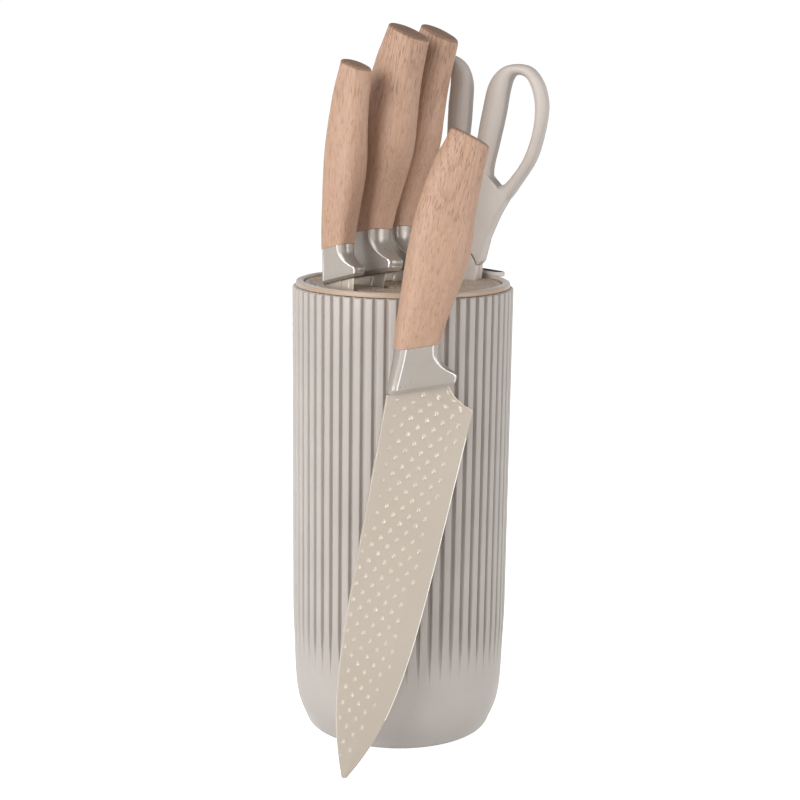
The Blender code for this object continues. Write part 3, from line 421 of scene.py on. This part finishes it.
def beech(name, tone, shift, matrix):
    """Oiled beech: long growth rings, fibres, and the short dark flecks of its rays along the grain."""
    g = Graph(name)
    g.place = g.add("ShaderNodeMapping", {"Vector": g.place, "Location": matrix.translation,
                                          "Rotation": matrix.to_euler()}, vector_type="TEXTURE").outputs[0]
    rings = g.add("ShaderNodeTexWave", {"Vector": g.stretched((1.0, 1.0, 0.14), RING_CENTRE),
                                        "Scale": 130.0, "Distortion": 6.0, "Detail": 3.0,
                                        "Detail Scale": 1.0},
                  wave_type="RINGS", rings_direction="Y", wave_profile="SAW").outputs["Fac"]
    height = g.add("ShaderNodeSeparateXYZ", {0: g.place}).outputs["Z"]
    low, high = RING_FADE
    rise = g.maths("MULTIPLY", height, 1 / high)
    top = g.ramp(rise, ((low / high, 0.22), (1.0, 1.0)))
    fleck_strength = g.ramp(rise, ((low / high, 0.36), (1.0, 0.85)))
    g.place = g.add("ShaderNodeVectorMath", {0: g.place, 1: shift}, operation="ADD").outputs[0]
    warp = g.noise(20.0, 3.0, g.stretched((1.0, 1.0, 0.3)))
    dark, middle, light = (shade(c, tone) for c in BEECH_TONES)
    base = g.ramp(warp, ((0.32, middle), (0.68, light)))
    lines = g.maths("MULTIPLY", g.ramp(rings, ((0.60, 0.0), (1.0, 0.50))), top)
    base = g.mix(lines, base, shade(dark, 0.62))
    fibres = g.noise(1.0, 4.0, g.stretched((1500.0, 1500.0, 60.0)), roughness=0.7)
    base = g.mix(1.0, base, g.ramp(fibres, ((0.3, 0.82), (0.7, 1.06))), "MULTIPLY")
    flecks = fleck_mask(g, (1900.0, 1900.0, 190.0), 0.60, 0.67)
    pores = fleck_mask(g, (3600.0, 3600.0, 300.0), 0.58, 0.68)
    base = g.mix(g.maths("MULTIPLY", flecks, fleck_strength), base, shade(FLECK_COLOUR, tone))
    base = g.mix(g.maths("MULTIPLY", pores, 0.24), base, shade(FLECK_COLOUR, tone * 1.2))
    gloss = g.ramp(fibres, ((0.3, 0.46), (0.7, 0.60)))
    normal = g.bump(fibres, 0.03 * MM)
    normal = g.bump(flecks, -0.08 * MM, base=normal)
    return g.finish(base, gloss, normal)


def fleck_mask(g, scale, low, high):
    """Short streaks along the grain, from noise stretched that way and cut off high."""
    streaks = g.noise(1.0, 1.5, g.stretched(scale), roughness=0.4)
    gathered = g.ramp(g.noise(60.0, 2.0), ((0.30, 0.94), (0.70, 1.03)))
    return g.ramp(g.maths("MULTIPLY", streaks, gathered), ((low, 0.0), (high, 1.0)))


def floor_paint():
    """White matt floor, lit from below like a light table."""
    g = Graph("light_table")
    base = g.ramp(g.noise(3.0, 3.0), ((0.3, 0.88), (0.7, 0.90)))
    g.shader.inputs["Emission Color"].default_value = (1.0, 1.0, 1.0, 1.0)
    g.shader.inputs["Emission Strength"].default_value = FLOOR_GLOW
    return g.finish(base, g.ramp(g.noise(8.0, 3.0), ((0.3, 0.8), (0.7, 0.9))))


MATERIALS = {
    "shell": moulded_plastic("greige_shell", SHELL_COLOUR, 0.46),
    "scissor": moulded_plastic("greige_scissor", SCISSOR_COLOUR, 0.42),
    "tan": moulded_plastic("tan_rim", TAN_COLOUR, 0.34),
    "rim": moulded_plastic("pale_rim_face", PALE_SHEEN_COLOUR, 0.30),
    "recess": moulded_plastic("brown_recess", RECESS_SHADE_COLOUR, 0.50),
    "deck": moulded_plastic("tan_deck", DECK_COLOUR, 0.26),
    "silicone": rubber("grey_silicone", (0.34, 0.31, 0.28)),
    "steel": brushed_steel("turned_steel", (0.62, 0.62, 0.61), (900.0, 900.0, 4000.0)),
    "scissor_steel": brushed_steel("brushed_scissor_steel", (0.66, 0.66, 0.65), (3200.0, 3200.0, 90.0)),
    "blade": coated_blade(),
    "edge": ground_edge(),
    "dimple": dimple_highlight_paint(),
    "painted_crease_highlight": crease_highlight_paint(),
    "bolster": glossy_bolster(),
    "floor": floor_paint(),
}


# Mesh helpers --------------------------------------------------------------------------------

def add_piece(name, vertices, faces, finishes, sharp=35.0):
    """A mesh from points in millimetres, shaded smooth except at sharp edges."""
    mesh = bpy.data.meshes.new(name)
    mesh.from_pydata((np.asarray(vertices, float) * MM).tolist(), [], faces)
    for finish in finishes:
        mesh.materials.append(finish)
    mesh.validate()
    orient(mesh)
    obj = bpy.data.objects.new(name, mesh)
    bpy.context.scene.collection.objects.link(obj)
    smooth(obj, sharp)
    return obj


def orient(mesh):
    """Turn every face outwards."""
    bm = bmesh.new()
    bm.from_mesh(mesh)
    bmesh.ops.recalc_face_normals(bm, faces=bm.faces)
    bm.to_mesh(mesh)
    bm.free()


def smooth(obj, sharp):
    obj.data.shade_smooth()
    obj.data.set_sharp_from_angle(angle=math.radians(sharp))


def place(obj, body, slot, node, matrix=None):
    """Hang a piece on its CAD body and hide the CAD node it stands for; the slot is not used."""
    if matrix is not None:
        obj.data.transform(matrix)
    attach(obj, body)
    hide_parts(node)


def skin(rings, closed=False, caps=True):
    """Points and quads over matched rings; open skins may be capped."""
    count = len(rings[0])
    vertices = np.concatenate([np.asarray(ring, float) for ring in rings])
    faces = []
    spans = len(rings) if closed else len(rings) - 1
    for level in range(spans):
        low, high = level * count, (level + 1) % len(rings) * count
        faces += [(low + i, low + (i + 1) % count, high + (i + 1) % count, high + i) for i in range(count)]
    if caps and not closed:
        faces.append(tuple(range(count)))
        faces.append(tuple(range(len(vertices) - count, len(vertices))))
    return vertices, faces


def joined(parts):
    """One set of points and faces from several."""
    vertices, faces = [], []
    for points, quads in parts:
        start = sum(len(v) for v in vertices)
        vertices.append(points)
        faces += [tuple(start + i for i in face) for face in quads]
    return np.concatenate(vertices), faces


def even_angles(count):
    """Angles all the way round, in equal steps."""
    return 2 * math.pi * np.arange(count) / count


def spline(points, per_span, closed=False):
    """Catmull-Rom curve through the points, which may have any number of values each."""
    points = np.asarray(points, float)
    count = len(points)
    spans = count if closed else count - 1
    result = []
    for i in range(spans):
        keys = [i - 1, i, i + 1, i + 2]
        keys = [k % count for k in keys] if closed else [min(max(k, 0), count - 1) for k in keys]
        a, b, c, d = points[keys]
        for step in range(per_span):
            t = step / per_span
            result.append(0.5 * (2 * b + (c - a) * t + (2 * a - 5 * b + 4 * c - d) * t ** 2
                                 + (3 * b - a - 3 * c + d) * t ** 3))
    if not closed:
        result.append(points[-1])
    return np.array(result)


def turned(profile, segments):
    """Spin a closed (radius, height) outline around Z."""
    profile = np.asarray(profile, float)
    rings = []
    for i in range(segments):
        angle = 2 * math.pi * i / segments
        rings.append(np.column_stack((profile[:, 0] * math.cos(angle), profile[:, 0] * math.sin(angle),
                                      profile[:, 1])))
    return skin(rings, closed=True)


def baked(obj, modifiers):
    """Apply (type, settings) modifiers to a piece's mesh."""
    for kind, settings in modifiers:
        modifier = obj.modifiers.new(kind, kind)
        for key, value in settings.items():
            setattr(modifier, key, value)
    bpy.context.view_layer.update()
    mesh = bpy.data.meshes.new_from_object(obj.evaluated_get(bpy.context.evaluated_depsgraph_get()))
    obj.modifiers.clear()
    obj.data = mesh


def cut(obj, cutter, operation="DIFFERENCE"):
    baked(obj, [("BOOLEAN", {"operation": operation, "solver": "EXACT", "object": cutter})])
    bpy.data.objects.remove(cutter)


# Block ---------------------------------------------------------------------------------------

def flute_columns():
    """Angles around the block and the groove's depth at each, for all flutes."""
    half = math.pi * SHELL_RADIUS / FLUTES
    arcs = [-half] + [-a for a in reversed(GROOVE_COLUMNS[1:])] + list(GROOVE_COLUMNS)
    angles, depths = [], []
    for i in range(FLUTES):
        middle = FLUTE_PHASE + 2 * math.pi * i / FLUTES
        for arc in arcs:
            share = min(max((abs(arc) - GROOVE_FLOOR) / (GROOVE_SHOULDER - GROOVE_FLOOR), 0.0), 1.0)
            beyond = (abs(arc) - GROOVE_SHOULDER) / (half - GROOVE_SHOULDER)
            crown = LAND_CROWN * (1 - min(beyond, 1.0)) ** 2
            depth = GROOVE_DEPTH * (1 - share * share * (3 - 2 * share))
            angles.append(middle + arc / SHELL_RADIUS)
            depths.append(max(depth, crown if beyond >= 0 else LAND_CROWN))
    return np.array(angles), np.array(depths)


def build_shell():
    """Fluted wall whose grooves get shallower downwards and run out on the foot, and a hollow inside."""
    angles, depths = flute_columns()
    direction = np.column_stack((np.sin(angles), -np.cos(angles)))
    foot = spline(FOOT, 4)
    heights = list(np.linspace(FOOT[-1][0], SHELL_TOP - RIM_BEVEL[0][0], 12))[1:-1]
    outside = [tuple(level) for level in foot] + [(z, 0.0) for z in heights]
    outside += [(SHELL_TOP - drop, inset) for drop, inset in RIM_BEVEL]
    rings = []
    for z, inset in outside:
        wall = SHELL_RADIUS * (1 - WALL_TAPER * (1 - z / SHELL_TOP))
        radius = wall - np.maximum(depths * np.interp(z, GROOVE_RUN, (0.0, 1.0)), inset)
        rings.append(np.column_stack((direction * radius[:, None], np.full(len(angles), z))))
    for z, radius in SHELL_INSIDE:
        rings.append(np.column_stack((direction * radius, np.full(len(angles), z))))
    vertices, faces = skin(rings, closed=True)
    shell = add_piece("fluted_shell", vertices, faces, [MATERIALS["shell"]], sharp=50.0)
    place(shell, "block", "shell_plastic", "block_shell")


# Lid -----------------------------------------------------------------------------------------

def build_ring():
    """Turned rim whose top face gets a pale tone painted as sheen."""
    vertices, faces = turned(RING_PROFILE, 360)
    ring = add_piece("lid_rim", vertices, faces, [MATERIALS["tan"], MATERIALS["rim"]], sharp=40.0)
    for polygon in ring.data.polygons:
        polygon.material_index = int(polygon.center.z > RIM_SHEEN_FACE * MM)
    place(ring, "lid", "tan_plastic", "lid_ring")


def rounded_rectangle(half_length, half_width, radius, steps=8):
    """Outline around the origin."""
    points = []
    for corner in range(4):
        x = (half_length - radius) * (1 if corner in (0, 3) else -1)
        y = (half_width - radius) * (1 if corner in (0, 1) else -1)
        for i in range(steps + 1):
            angle = math.pi / 2 * (corner + i / steps)
            points.append((x + radius * math.cos(angle), y + radius * math.sin(angle)))
    return np.array(points)


def slot_cutters():
    """One mesh with a chamfered plug for every slot."""
    slots = []
    for offset, start, end in [CHEF_SLOT] + [(s[0], s[3], s[4]) for s in SEATED.values()]:
        centre = slot_point(offset, (start + end) / 2)
        slots.append((centre, SLOT_YAW, (end - start) / 2, SLOT_HALF_WIDTH, SLOT_CORNER))
    slots.append((SCISSORS_ORIGIN[:2], SCISSORS_YAW, *SCISSOR_SLOT))
    plugs = []
    for (x, y), yaw, half_length, half_width, corner in slots:
        turn = np.array(((math.cos(yaw), math.sin(yaw)), (-math.sin(yaw), math.cos(yaw))))
        rings = []
        for rise, grow in SLOT_LEVELS:
            outline = rounded_rectangle(half_length + grow, half_width + grow, corner + grow)
            level = np.full(len(outline), DECK_TOP - DECK_THICKNESS + rise)
            rings.append(np.column_stack((outline @ turn + (x, y), level)))
        plugs.append(skin(rings))
    return add_piece("slot_plugs", *joined(plugs), [])


def slot_point(offset, along):
    """Place on the deck, from the offset in front of the centre and the way along the slots."""
    return (math.sin(SLOT_YAW) * offset + math.cos(SLOT_YAW) * along,
            -math.cos(SLOT_YAW) * offset + math.sin(SLOT_YAW) * along)


def ripple(x, y):
    """Depth of the deck's rippled texture: shallow rounded facets on a diamond lattice."""
    u = (x + y) * math.pi / RIPPLE_PITCH
    v = (x - y) * math.pi / RIPPLE_PITCH
    waves = np.abs(np.sin(u + 0.25 * np.sin(v * 0.7)) * np.sin(v + 0.25 * np.sin(u * 0.6)))
    strip, growth = RIPPLE_BORDER
    edge = np.clip((DECK_RADIUS - strip - np.hypot(x, y)) / growth, 0.0, 1.0)
    return RIPPLE_DEPTH * waves * edge


def build_deck():
    """Rippled plate with chamfered slots."""
    radii = list(np.arange(0.6, DECK_RADIUS - 0.4, DECK_CELL)) + [DECK_RADIUS - DECK_EDGE]
    angles = even_angles(DECK_COLUMNS)
    rings = []
    for radius in radii:
        x, y = radius * np.cos(angles), radius * np.sin(angles)
        rings.append(np.column_stack((x, y, DECK_TOP - ripple(x, y))))
    for drop in (DECK_EDGE, DECK_THICKNESS):
        level = np.full(DECK_COLUMNS, DECK_TOP - drop)
        rings.append(np.column_stack((DECK_RADIUS * np.cos(angles), DECK_RADIUS * np.sin(angles), level)))
    vertices, faces = skin(rings)
    deck = add_piece("rippled_deck", vertices, faces, [MATERIALS["deck"]])
    cut(deck, slot_cutters())
    smooth(deck, 50.0)
    place(deck, "lid", "deck_plastic", "lid_deck")


def build_tab():
    """Raised oblong tab with a recess for a fingertip."""
    rings = []
    for inset, rise in TAB_LEVELS:
        half_length, half_width = TAB_HALF_LENGTH - inset, TAB_HALF_WIDTH - inset
        ring = []
        for side in (1, -1):
            for i in range(TAB_STEPS + 1):
                angle = -math.pi / 2 + math.pi * i / TAB_STEPS
                ring.append((side * (half_length - half_width + half_width * math.cos(angle)),
                             side * half_width * math.sin(angle), LID_TOP + rise))
        rings.append(ring)
    spot = (TAB_RING * MM * math.cos(TAB_ANGLE), TAB_RING * MM * math.sin(TAB_ANGLE), 0)
    matrix = Matrix.Translation(spot) @ Matrix.Rotation(TAB_ANGLE - math.pi / 2, 4, "Z")
    # the tab's greige is lightened with painted sheen
    tab = add_piece("lifting_tab", *skin(rings), [MATERIALS["rim"], MATERIALS["recess"]], sharp=50.0)
    ring_size = len(rings[0])
    # the faces in the recess get the dark painted shade
    for polygon in tab.data.polygons:
        polygon.material_index = int(min(polygon.vertices) >= TAB_RECESS_LEVEL * ring_size)
    place(tab, "lid", "shell_plastic", "lid_tab", matrix)


# Knives --------------------------------------------------------------------------------------

def knife_matrix(name):
    """Frame of a knife, with its origin on the spine's side of the bolster's foot."""
    if name == "chef":
        lean = Matrix.Rotation(-CHEF_LEAN_BACK, 4, "X") @ Matrix.Rotation(CHEF_LEAN_SIDE, 4, "Y")
        return Matrix.Translation(Vector(CHEF_ORIGIN) * MM) @ lean @ Matrix.Rotation(CHEF_YAW, 4, "Z")
    offset, along, lean, _, _, lift = SEATED[name]
    x, y = slot_point(offset, along)
    turn = Matrix.Rotation(math.radians(lean), 4, "Y") @ Matrix.Rotation(SLOT_YAW, 4, "Z")
    return Matrix.Translation((x * MM, y * MM, (DECK_TOP + lift) * MM)) @ turn


def oval(back, front, thickness, exponent, height, slant):
    """Superellipse section whose plane rises by the slant towards the finger edge."""
    angles = 2 * math.pi * (np.arange(HANDLE_POINTS) + 0.5) / HANDLE_POINTS
    c, s = np.cos(angles), np.sin(angles)
    x = (back + front) / 2 + (front - back) / 2 * np.copysign(np.abs(c) ** (2 / exponent), c)
    y = thickness / 2 * np.copysign(np.abs(s) ** (2 / exponent), s)
    return np.column_stack((x, y, height + slant * x))


def faceted(back, front, thickness, height, slant, back_facet, front_facet):
    """Section with flat sides, and creases where the facets fall away to the rounded edges."""
    s = 1 - (1 - CREASE_HALF / front_facet) * np.linspace(0.0, 1.0, FACET_STEPS) ** 2
    t = 1 - (1 - CREASE_HALF / back_facet) * np.linspace(0.0, 1.0, FACET_STEPS) ** 2
    flat = [front - front_facet - CREASE_HALF * reach for reach in (1, 2)]
    flat += [back + back_facet + CREASE_HALF * reach for reach in (2, 1)]
    x = np.concatenate((front - front_facet * (1 - s), flat, (back + back_facet * (1 - t))[::-1]))
    half = thickness / 2 * np.concatenate([(1 - FACET_SLOPE * s) * np.sqrt(1 - s ** 4), np.ones(4),
                                           ((1 - FACET_SLOPE * t) * np.sqrt(1 - t ** 4))[::-1]])
    x, y = np.concatenate((x, x[-2:0:-1])), np.concatenate((half, -half[-2:0:-1]))
    return np.column_stack((x, y, height + slant * x))


def build_bolster(name, matrix):
    """Collar with flat sides, a hollowed finger side that runs out into the guard and a chamfered foot."""
    size, slim, tall = KNIFE_SIZES[name]
    wide = size * slim
    sections = list(BOLSTER_CHAMFER) + [tuple(row) for row in spline(BOLSTER_SECTIONS, 5)]
    rings = []
    for height, back, front, thickness, back_facet, front_facet in sections:
        rings.append(faceted(back * wide, front * wide, thickness * wide, height * size * tall, END_SLANT,
                             back_facet * wide, front_facet * wide))
    vertices, faces = skin(rings)
    # the second finish paints a highlight on the creases
    finishes = [MATERIALS[key] for key in ("bolster", "painted_crease_highlight")]
    bolster = add_piece(f"{name}_collar", vertices, faces, finishes, sharp=16.0)
    paint_crease_highlights(bolster, len(rings[0]))
    place(bolster, f"{name}_knife", "bolster_metal", f"{name}_bolster", matrix)


def paint_crease_highlights(bolster, count):
    """Paint a highlight on the rounding along the four creases, above the chamfer."""
    low, high = FACET_STEPS - 1, FACET_STEPS + 3
    creases = {low, high, count - low - 1, count - high - 1}
    for polygon in bolster.data.polygons:
        if len(polygon.vertices) == 4:
            column = min(v % count for v in polygon.vertices)
            wraps = max(v % count for v in polygon.vertices) - column > 1
            above = min(polygon.vertices) // count >= len(BOLSTER_CHAMFER) - 1
            polygon.material_index = int(column in creases and above and not wraps)


def build_handle(name, matrix):
    """Curved wooden grip with a slanted, softly domed butt."""
    size, slim, tall = KNIFE_SIZES[name]
    wide = size * slim
    sections = [tuple(row) for row in spline(HANDLE_SECTIONS, 6)]
    middle, back, front, thickness, slant, exponent = sections[-1]
    sections += [(middle + rise, back + inset, front - inset, thickness - 2 * inset, slant, exponent)
                 for rise, inset in BUTT]
    rings = []
    for middle, back, front, thickness, slant, exponent in sections:
        height = (middle + HANDLE_START * (tall - 1) - slant * (back + front) / 2) * size
        rings.append(oval(back * wide, front * wide, thickness * wide, exponent, height, slant))
    vertices, faces = skin(rings)
    index = list(BLADES).index(name)
    wood = beech(f"beech_{name}", BEECH_BRIGHTNESS[index], shade(GRAIN_SHIFT, index), matrix)
    # the butts take a darker copy of the beech: end grain, plus painted shade on the tops
    end = beech(f"beech_end_{name}", BEECH_BRIGHTNESS[index] * END_GRAIN_AND_SHADE, shade(GRAIN_SHIFT, index), matrix)
    handle = add_piece(f"{name}_grip", vertices, faces, [wood, end], sharp=38.0)
    butt_start = (len(sections) - len(BUTT)) * HANDLE_POINTS
    for polygon in handle.data.polygons:
        polygon.material_index = int(min(polygon.vertices) >= butt_start)
    place(handle, f"{name}_knife", "beech", f"{name}_handle", matrix)


def blade_outline(name):
    """Rows down the blade: height at the spine, slant, spine and edge."""
    length, heel, taper, tip, point, belly, start, pitch = BLADES[name]
    rows = []
    reach = heel - start
    if reach > 0:
        curve = spline((*HEEL_CURVE, (-HEEL_END * length, 0.0, 1.0)), 6)
        rows = [(height, slant, 0.0, start + share * reach) for height, slant, share in curve[:-1]]
    else:
        rows = [(-0.3 - 0.6 * i, END_SLANT * (1 - i / 6), 0.0, start) for i in range(6)]
    first = -rows[-1][0] / length + 0.003
    for share in np.linspace(first, 1.0, int(length / BLADE_CELL)):
        drop = max(0.0, (share - SPINE_DROP_START) / (1 - SPINE_DROP_START))
        spine = tip * drop ** SPINE_DROP_EXPONENT
        edge = heel - taper * share - (heel - taper - tip - point) * share ** belly
        if pitch and share < 0.9:
            edge -= SCALLOP_DEPTH * 0.5 * (1 - math.cos(2 * math.pi * share * length / pitch))
        rows.append((-share * length, 0.0, spine, edge))
    return rows


def dimple(x, z, spine, limit):
    """Depth of the nearest dimple of the staggered lattice, none outside spine to limit."""
    across, along = DIMPLE_PHASE
    column = np.round(x / DIMPLE_COLUMN - across)
    shift = np.mod(column, 2) * DIMPLE_PITCH / 2
    middle = (column + across) * DIMPLE_COLUMN
    centre = (np.round((z + shift) / DIMPLE_PITCH - along) + along) * DIMPLE_PITCH - shift
    dx = (x - middle) / DIMPLE_HALF[0]
    dz = (z - centre) / DIMPLE_HALF[1]
    bowl = np.clip(1 - dx * dx - dz * dz, 0.0, 1.0) ** DIMPLE_BOWL
    inside = (middle > spine + DIMPLE_MARGIN) & (middle < limit)
    inside &= centre < END_SLANT * middle - DIMPLE_HALF[1] - DIMPLE_MARGIN
    fade = np.interp(middle - spine + np.interp(-z, *FADE_END), *DIMPLE_FADE)
    return DIMPLE_DEPTH * fade * bowl * inside


def build_blade(name, matrix):
    """Tapered blade with dimpled sides, a thinned strip behind the edge and a ground edge."""
    size, slim, _ = KNIFE_SIZES[name]
    rows = blade_outline(name)
    across = max(int(BLADES[name][1] / BLADE_CELL), 20)
    shares = np.linspace(0.0, 1.0, across)
    rings, depths = [], []
    for height, slant, spine, edge in rows:
        wide = edge - spine
        ground = min(GROUND_WIDTH, 0.3 * wide)
        x = np.concatenate((spine + shares * (wide - ground), [edge]))
        bevel = edge - min(BEVEL_WIDTH, 0.45 * wide)
        half = np.interp(x, (spine, spine + 0.3, bevel, edge - ground, edge),
                         (SPINE_HALF - 0.25, SPINE_HALF, SPINE_HALF * 0.9, GROUND_HALF, EDGE_HALF))
        z = height + slant * x
        width, growth, exponent = PLAIN_STRIP
        strip = width * min(-height / BLADES[name][0] / growth, 1.0) ** exponent
        depth = dimple(x, z, spine, edge - max(strip, LEAST_STRIP))
        depths += [depth, depth[::-1]]
        half = half - depth
        rings.append(np.concatenate((np.column_stack((x, -half, z)), np.column_stack((x, half, z))[::-1])))
    vertices, faces = skin(rings)
    # the third finish paints a highlight in the dimples
    finishes = [MATERIALS[key] for key in ("blade", "edge", "dimple")]
    blade = add_piece(f"{name}_dimpled_blade", vertices, faces, finishes, sharp=40.0)
    mark_edge_and_dimple_highlights(blade, across, np.concatenate(depths), len(rows))
    low, high = TANG[0] * size * slim * MM, TANG[1] * size * slim * MM
    add_tang(blade, low, high, TANG[2] * size * MM)
    place(blade, f"{name}_knife", "coated_blade", f"{name}_blade", matrix)


def mark_edge_and_dimple_highlights(blade, across, depths, rows):
    """Give the narrow strips beside the cutting edge bare steel, and the dimples' centres a painted
    highlight.
    """
    count = 2 * (across + 1)
    first, last = (int(share * rows) for share in GROUND_SPAN)
    for polygon in blade.data.polygons:
        if len(polygon.vertices) != 4:
            continue
        columns = [v % count for v in polygon.vertices]
        row = min(polygon.vertices) // count
        if min(columns) >= across - 1 and max(columns) <= across + 2:
            polygon.material_index = int(first < row < last)
        elif depths[list(polygon.vertices)].max() > DIMPLE_HIGHLIGHT_DEPTH:
            polygon.material_index = 2


def add_tang(blade, low, high, top):
    """Flat tang that runs up from the blade into the grip."""
    bm = bmesh.new()
    bm.from_mesh(blade.data)
    made = bmesh.ops.create_cube(bm, size=1.0)["verts"]
    half = SPINE_HALF * MM
    for vert in made:
        vert.co = Vector((low if vert.co.x < 0 else high, half * math.copysign(TANG_SHARE, vert.co.y),
                          TANG_FOOT * MM if vert.co.z < 0 else top))
    bm.to_mesh(blade.data)
    bm.free()


# Scissors ------------------------------------------------------------------------------------

def scissors_matrix():
    turn = Matrix.Rotation(SCISSORS_YAW, 4, "Z") @ Matrix.Rotation(SCISSORS_LEAN, 4, "Y")
    return Matrix.Translation(Vector(SCISSORS_ORIGIN) * MM) @ turn


def bow(side):
    """Closed tube around the finger hole, wide on the inner limb and slim on the outer."""
    angles = even_angles(BOW_POINTS)
    reach = np.copysign(np.abs(np.cos(angles)) ** BOW_ROUNDNESS, np.cos(angles))
    depth = np.copysign(np.abs(np.sin(angles)) ** BOW_ROUNDNESS, np.sin(angles))
    rings = []
    for outer, inner in zip(spline(BOW_OUTER, 6, True), spline(BOW_INNER, 6, True)):
        flat = (outer + inner) / 2 + (outer - inner) / 2 * reach[:, None]
        rings.append(np.column_stack((side * BOW_SPREAD * flat[:, 0], HANDLE_HALF * depth, flat[:, 1])))
    return skin(rings, closed=True)


def prism(outline, side, low, high):
    """Extrude an (across, up) outline through the thickness."""
    outline = np.asarray(outline, float)
    rings = []
    for y in (low, high):
        rings.append(np.column_stack((side * outline[:, 0], np.full(len(outline), y), outline[:, 1])))
    return skin(rings)


def hub_arc(radius, start, end, steps):
    """Points of an arc around the pivot, between two angles in degrees."""
    angles = np.radians(np.linspace(start, end, steps + 1))
    return [(radius * math.cos(a), PIVOT_HEIGHT + radius * math.sin(a)) for a in angles]


def hub_lip(layer):
    """Edge of a plate that closes the view between the two plates."""
    start, end, low, gap = HUB_LIP
    across = np.linspace(start, end, 8)
    top = PIVOT_HEIGHT + np.sqrt(HUB_RADIUS ** 2 - across ** 2)
    outline = [(start, low), (end, low)] + list(zip(across[::-1], top[::-1]))
    return prism(outline, 1, *sorted((gap * layer, HANDLE_HALF * layer)))


def build_scissor_handle(name, side, layer, body, node):
    """Bow, shank and hub, melted into one moulded form. layer is -1 for the hub plate in front."""
    shank = hub_arc(HUB_RADIUS + HUB_GAP, 22, 88, 10) + list(SHANK_OUTLINE)
    low, high = sorted((HANDLE_HALF * layer, PLATE_NEAR * layer))
    hub = [(min(max(x, -HUB_HALF_WIDTH), HUB_HALF_WIDTH), z) for x, z in hub_arc(HUB_RADIUS, -16, 196, 36)]
    parts = [bow(side), prism(shank, side, -HANDLE_HALF, HANDLE_HALF),
             prism(hub + list(HUB_FOOT), side, low, high), prism(STRAP_OUTLINE, side, low, high),
             hub_lip(layer)]
    handle = add_piece(name, *joined(parts), [MATERIALS["scissor"]])
    baked(handle, [("REMESH", {"mode": "VOXEL", "voxel_size": VOXEL * MM, "use_smooth_shade": True}),
                   ("SMOOTH", {"factor": 0.5, "iterations": 9})])
    cut(handle, pivot_plug(layer))
    smooth(handle, 60.0)
    place(handle, body, "scissor_plastic", node, scissors_matrix())


def pivot_plug(layer):
    """Cylinder that sinks the pivot's head into the hub."""
    radius, floor, mouth = PIVOT_SINK
    angles = even_angles(PIVOT_POINTS)
    rings = []
    for y in (floor * layer, mouth * layer):
        rings.append(np.column_stack((radius * np.cos(angles), np.full(PIVOT_POINTS, y),
                                      PIVOT_HEIGHT + radius * np.sin(angles))))
    vertices, faces = skin(rings)
    return add_piece("pivot_plug", vertices, faces, [])


# Carried-over CAD nodes ----------------------------------------------------------------------

def repaint(nodes, mat):
    """Give the CAD pieces that are shown as they are a material with some detail."""
    for node in nodes:
        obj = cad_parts[node]
        obj.data.materials.clear()
        obj.data.materials.append(mat)


# Stage ---------------------------------------------------------------------------------------

def softbox(name, spot, size, power):
    """Rectangular lamp that faces the target."""
    light = bpy.data.lights.new(name, "AREA")
    light.shape = "RECTANGLE"
    light.size, light.size_y = size
    light.energy = power
    obj = bpy.data.objects.new(name, light)
    bpy.context.scene.collection.objects.link(obj)
    obj.location = spot
    obj.rotation_euler = (Vector(LAMP_TARGET) - Vector(spot)).to_track_quat("-Z", "Y").to_euler()


def build_stage():
    """Floor, sky and lamps."""
    half = FLOOR_HALF / MM
    floor = add_piece("floor", [(-half, -half, 0), (half, -half, 0), (half, half, 0), (-half, half, 0)],
                      [(0, 1, 2, 3)], [MATERIALS["floor"]])
    floor.visible_diffuse = False
    build_world()
    for name, (angle, reach, height, width, length, power) in LAMPS.items():
        turn = math.radians(angle)
        softbox(name, (reach * math.sin(turn), -reach * math.cos(turn), height), (width, length), power)
    bpy.context.scene.view_settings.view_transform = "Standard"


def build_world():
    """White horizon under a dimmer ceiling."""
    world = bpy.data.worlds.new("studio")
    world.use_nodes = True
    tree = world.node_tree
    split = tree.nodes.new("ShaderNodeSeparateXYZ")
    tree.links.new(tree.nodes.new("ShaderNodeTexCoord").outputs["Generated"], split.inputs[0])
    scaled = tree.nodes.new("ShaderNodeMapRange")
    scaled.inputs["From Min"].default_value = -1.0
    tree.links.new(split.outputs["Z"], scaled.inputs["Value"])
    ramp = tree.nodes.new("ShaderNodeValToRGB")
    tree.links.new(scaled.outputs["Result"], ramp.inputs["Fac"])
    set_stops(ramp, SKY)
    background = tree.nodes["Background"]
    tree.links.new(ramp.outputs["Color"], background.inputs["Color"])
    background.inputs["Strength"].default_value = WORLD_STRENGTH
    bpy.context.scene.world = world


def build_camera():
    data = bpy.data.cameras.new("camera")
    data.lens = CAMERA_LENS
    data.sensor_width = CAMERA_SENSOR
    camera = bpy.data.objects.new("camera", data)
    bpy.context.scene.collection.objects.link(camera)
    camera.matrix_world = (Matrix.Translation(CAMERA_PLACE) @ Matrix.Rotation(CAMERA_TURN, 4, "Z")
                           @ Matrix.Rotation(CAMERA_TILT, 4, "X") @ Matrix.Rotation(CAMERA_ROLL, 4, "Z"))
    bpy.context.scene.camera = camera


build_camera()
build_stage()
build_shell()
build_ring()
build_deck()
build_tab()
for knife in BLADES:
    spot = knife_matrix(knife)
    build_blade(knife, spot)
    build_bolster(knife, spot)
    build_handle(knife, spot)
build_scissor_handle("left_bow", -1, -1, "scissors_left_half", "scissor_handle_left")
build_scissor_handle("right_bow", 1, 1, "scissors_right_half", "scissor_handle_right")
repaint(("base_pad", "lid_seal"), MATERIALS["silicone"])
repaint(("base_plate",), MATERIALS["tan"])
repaint([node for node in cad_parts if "screw" in node or node == "pivot_nut"], MATERIALS["steel"])
repaint(("scissor_blade_left", "scissor_blade_right"), MATERIALS["scissor_steel"])
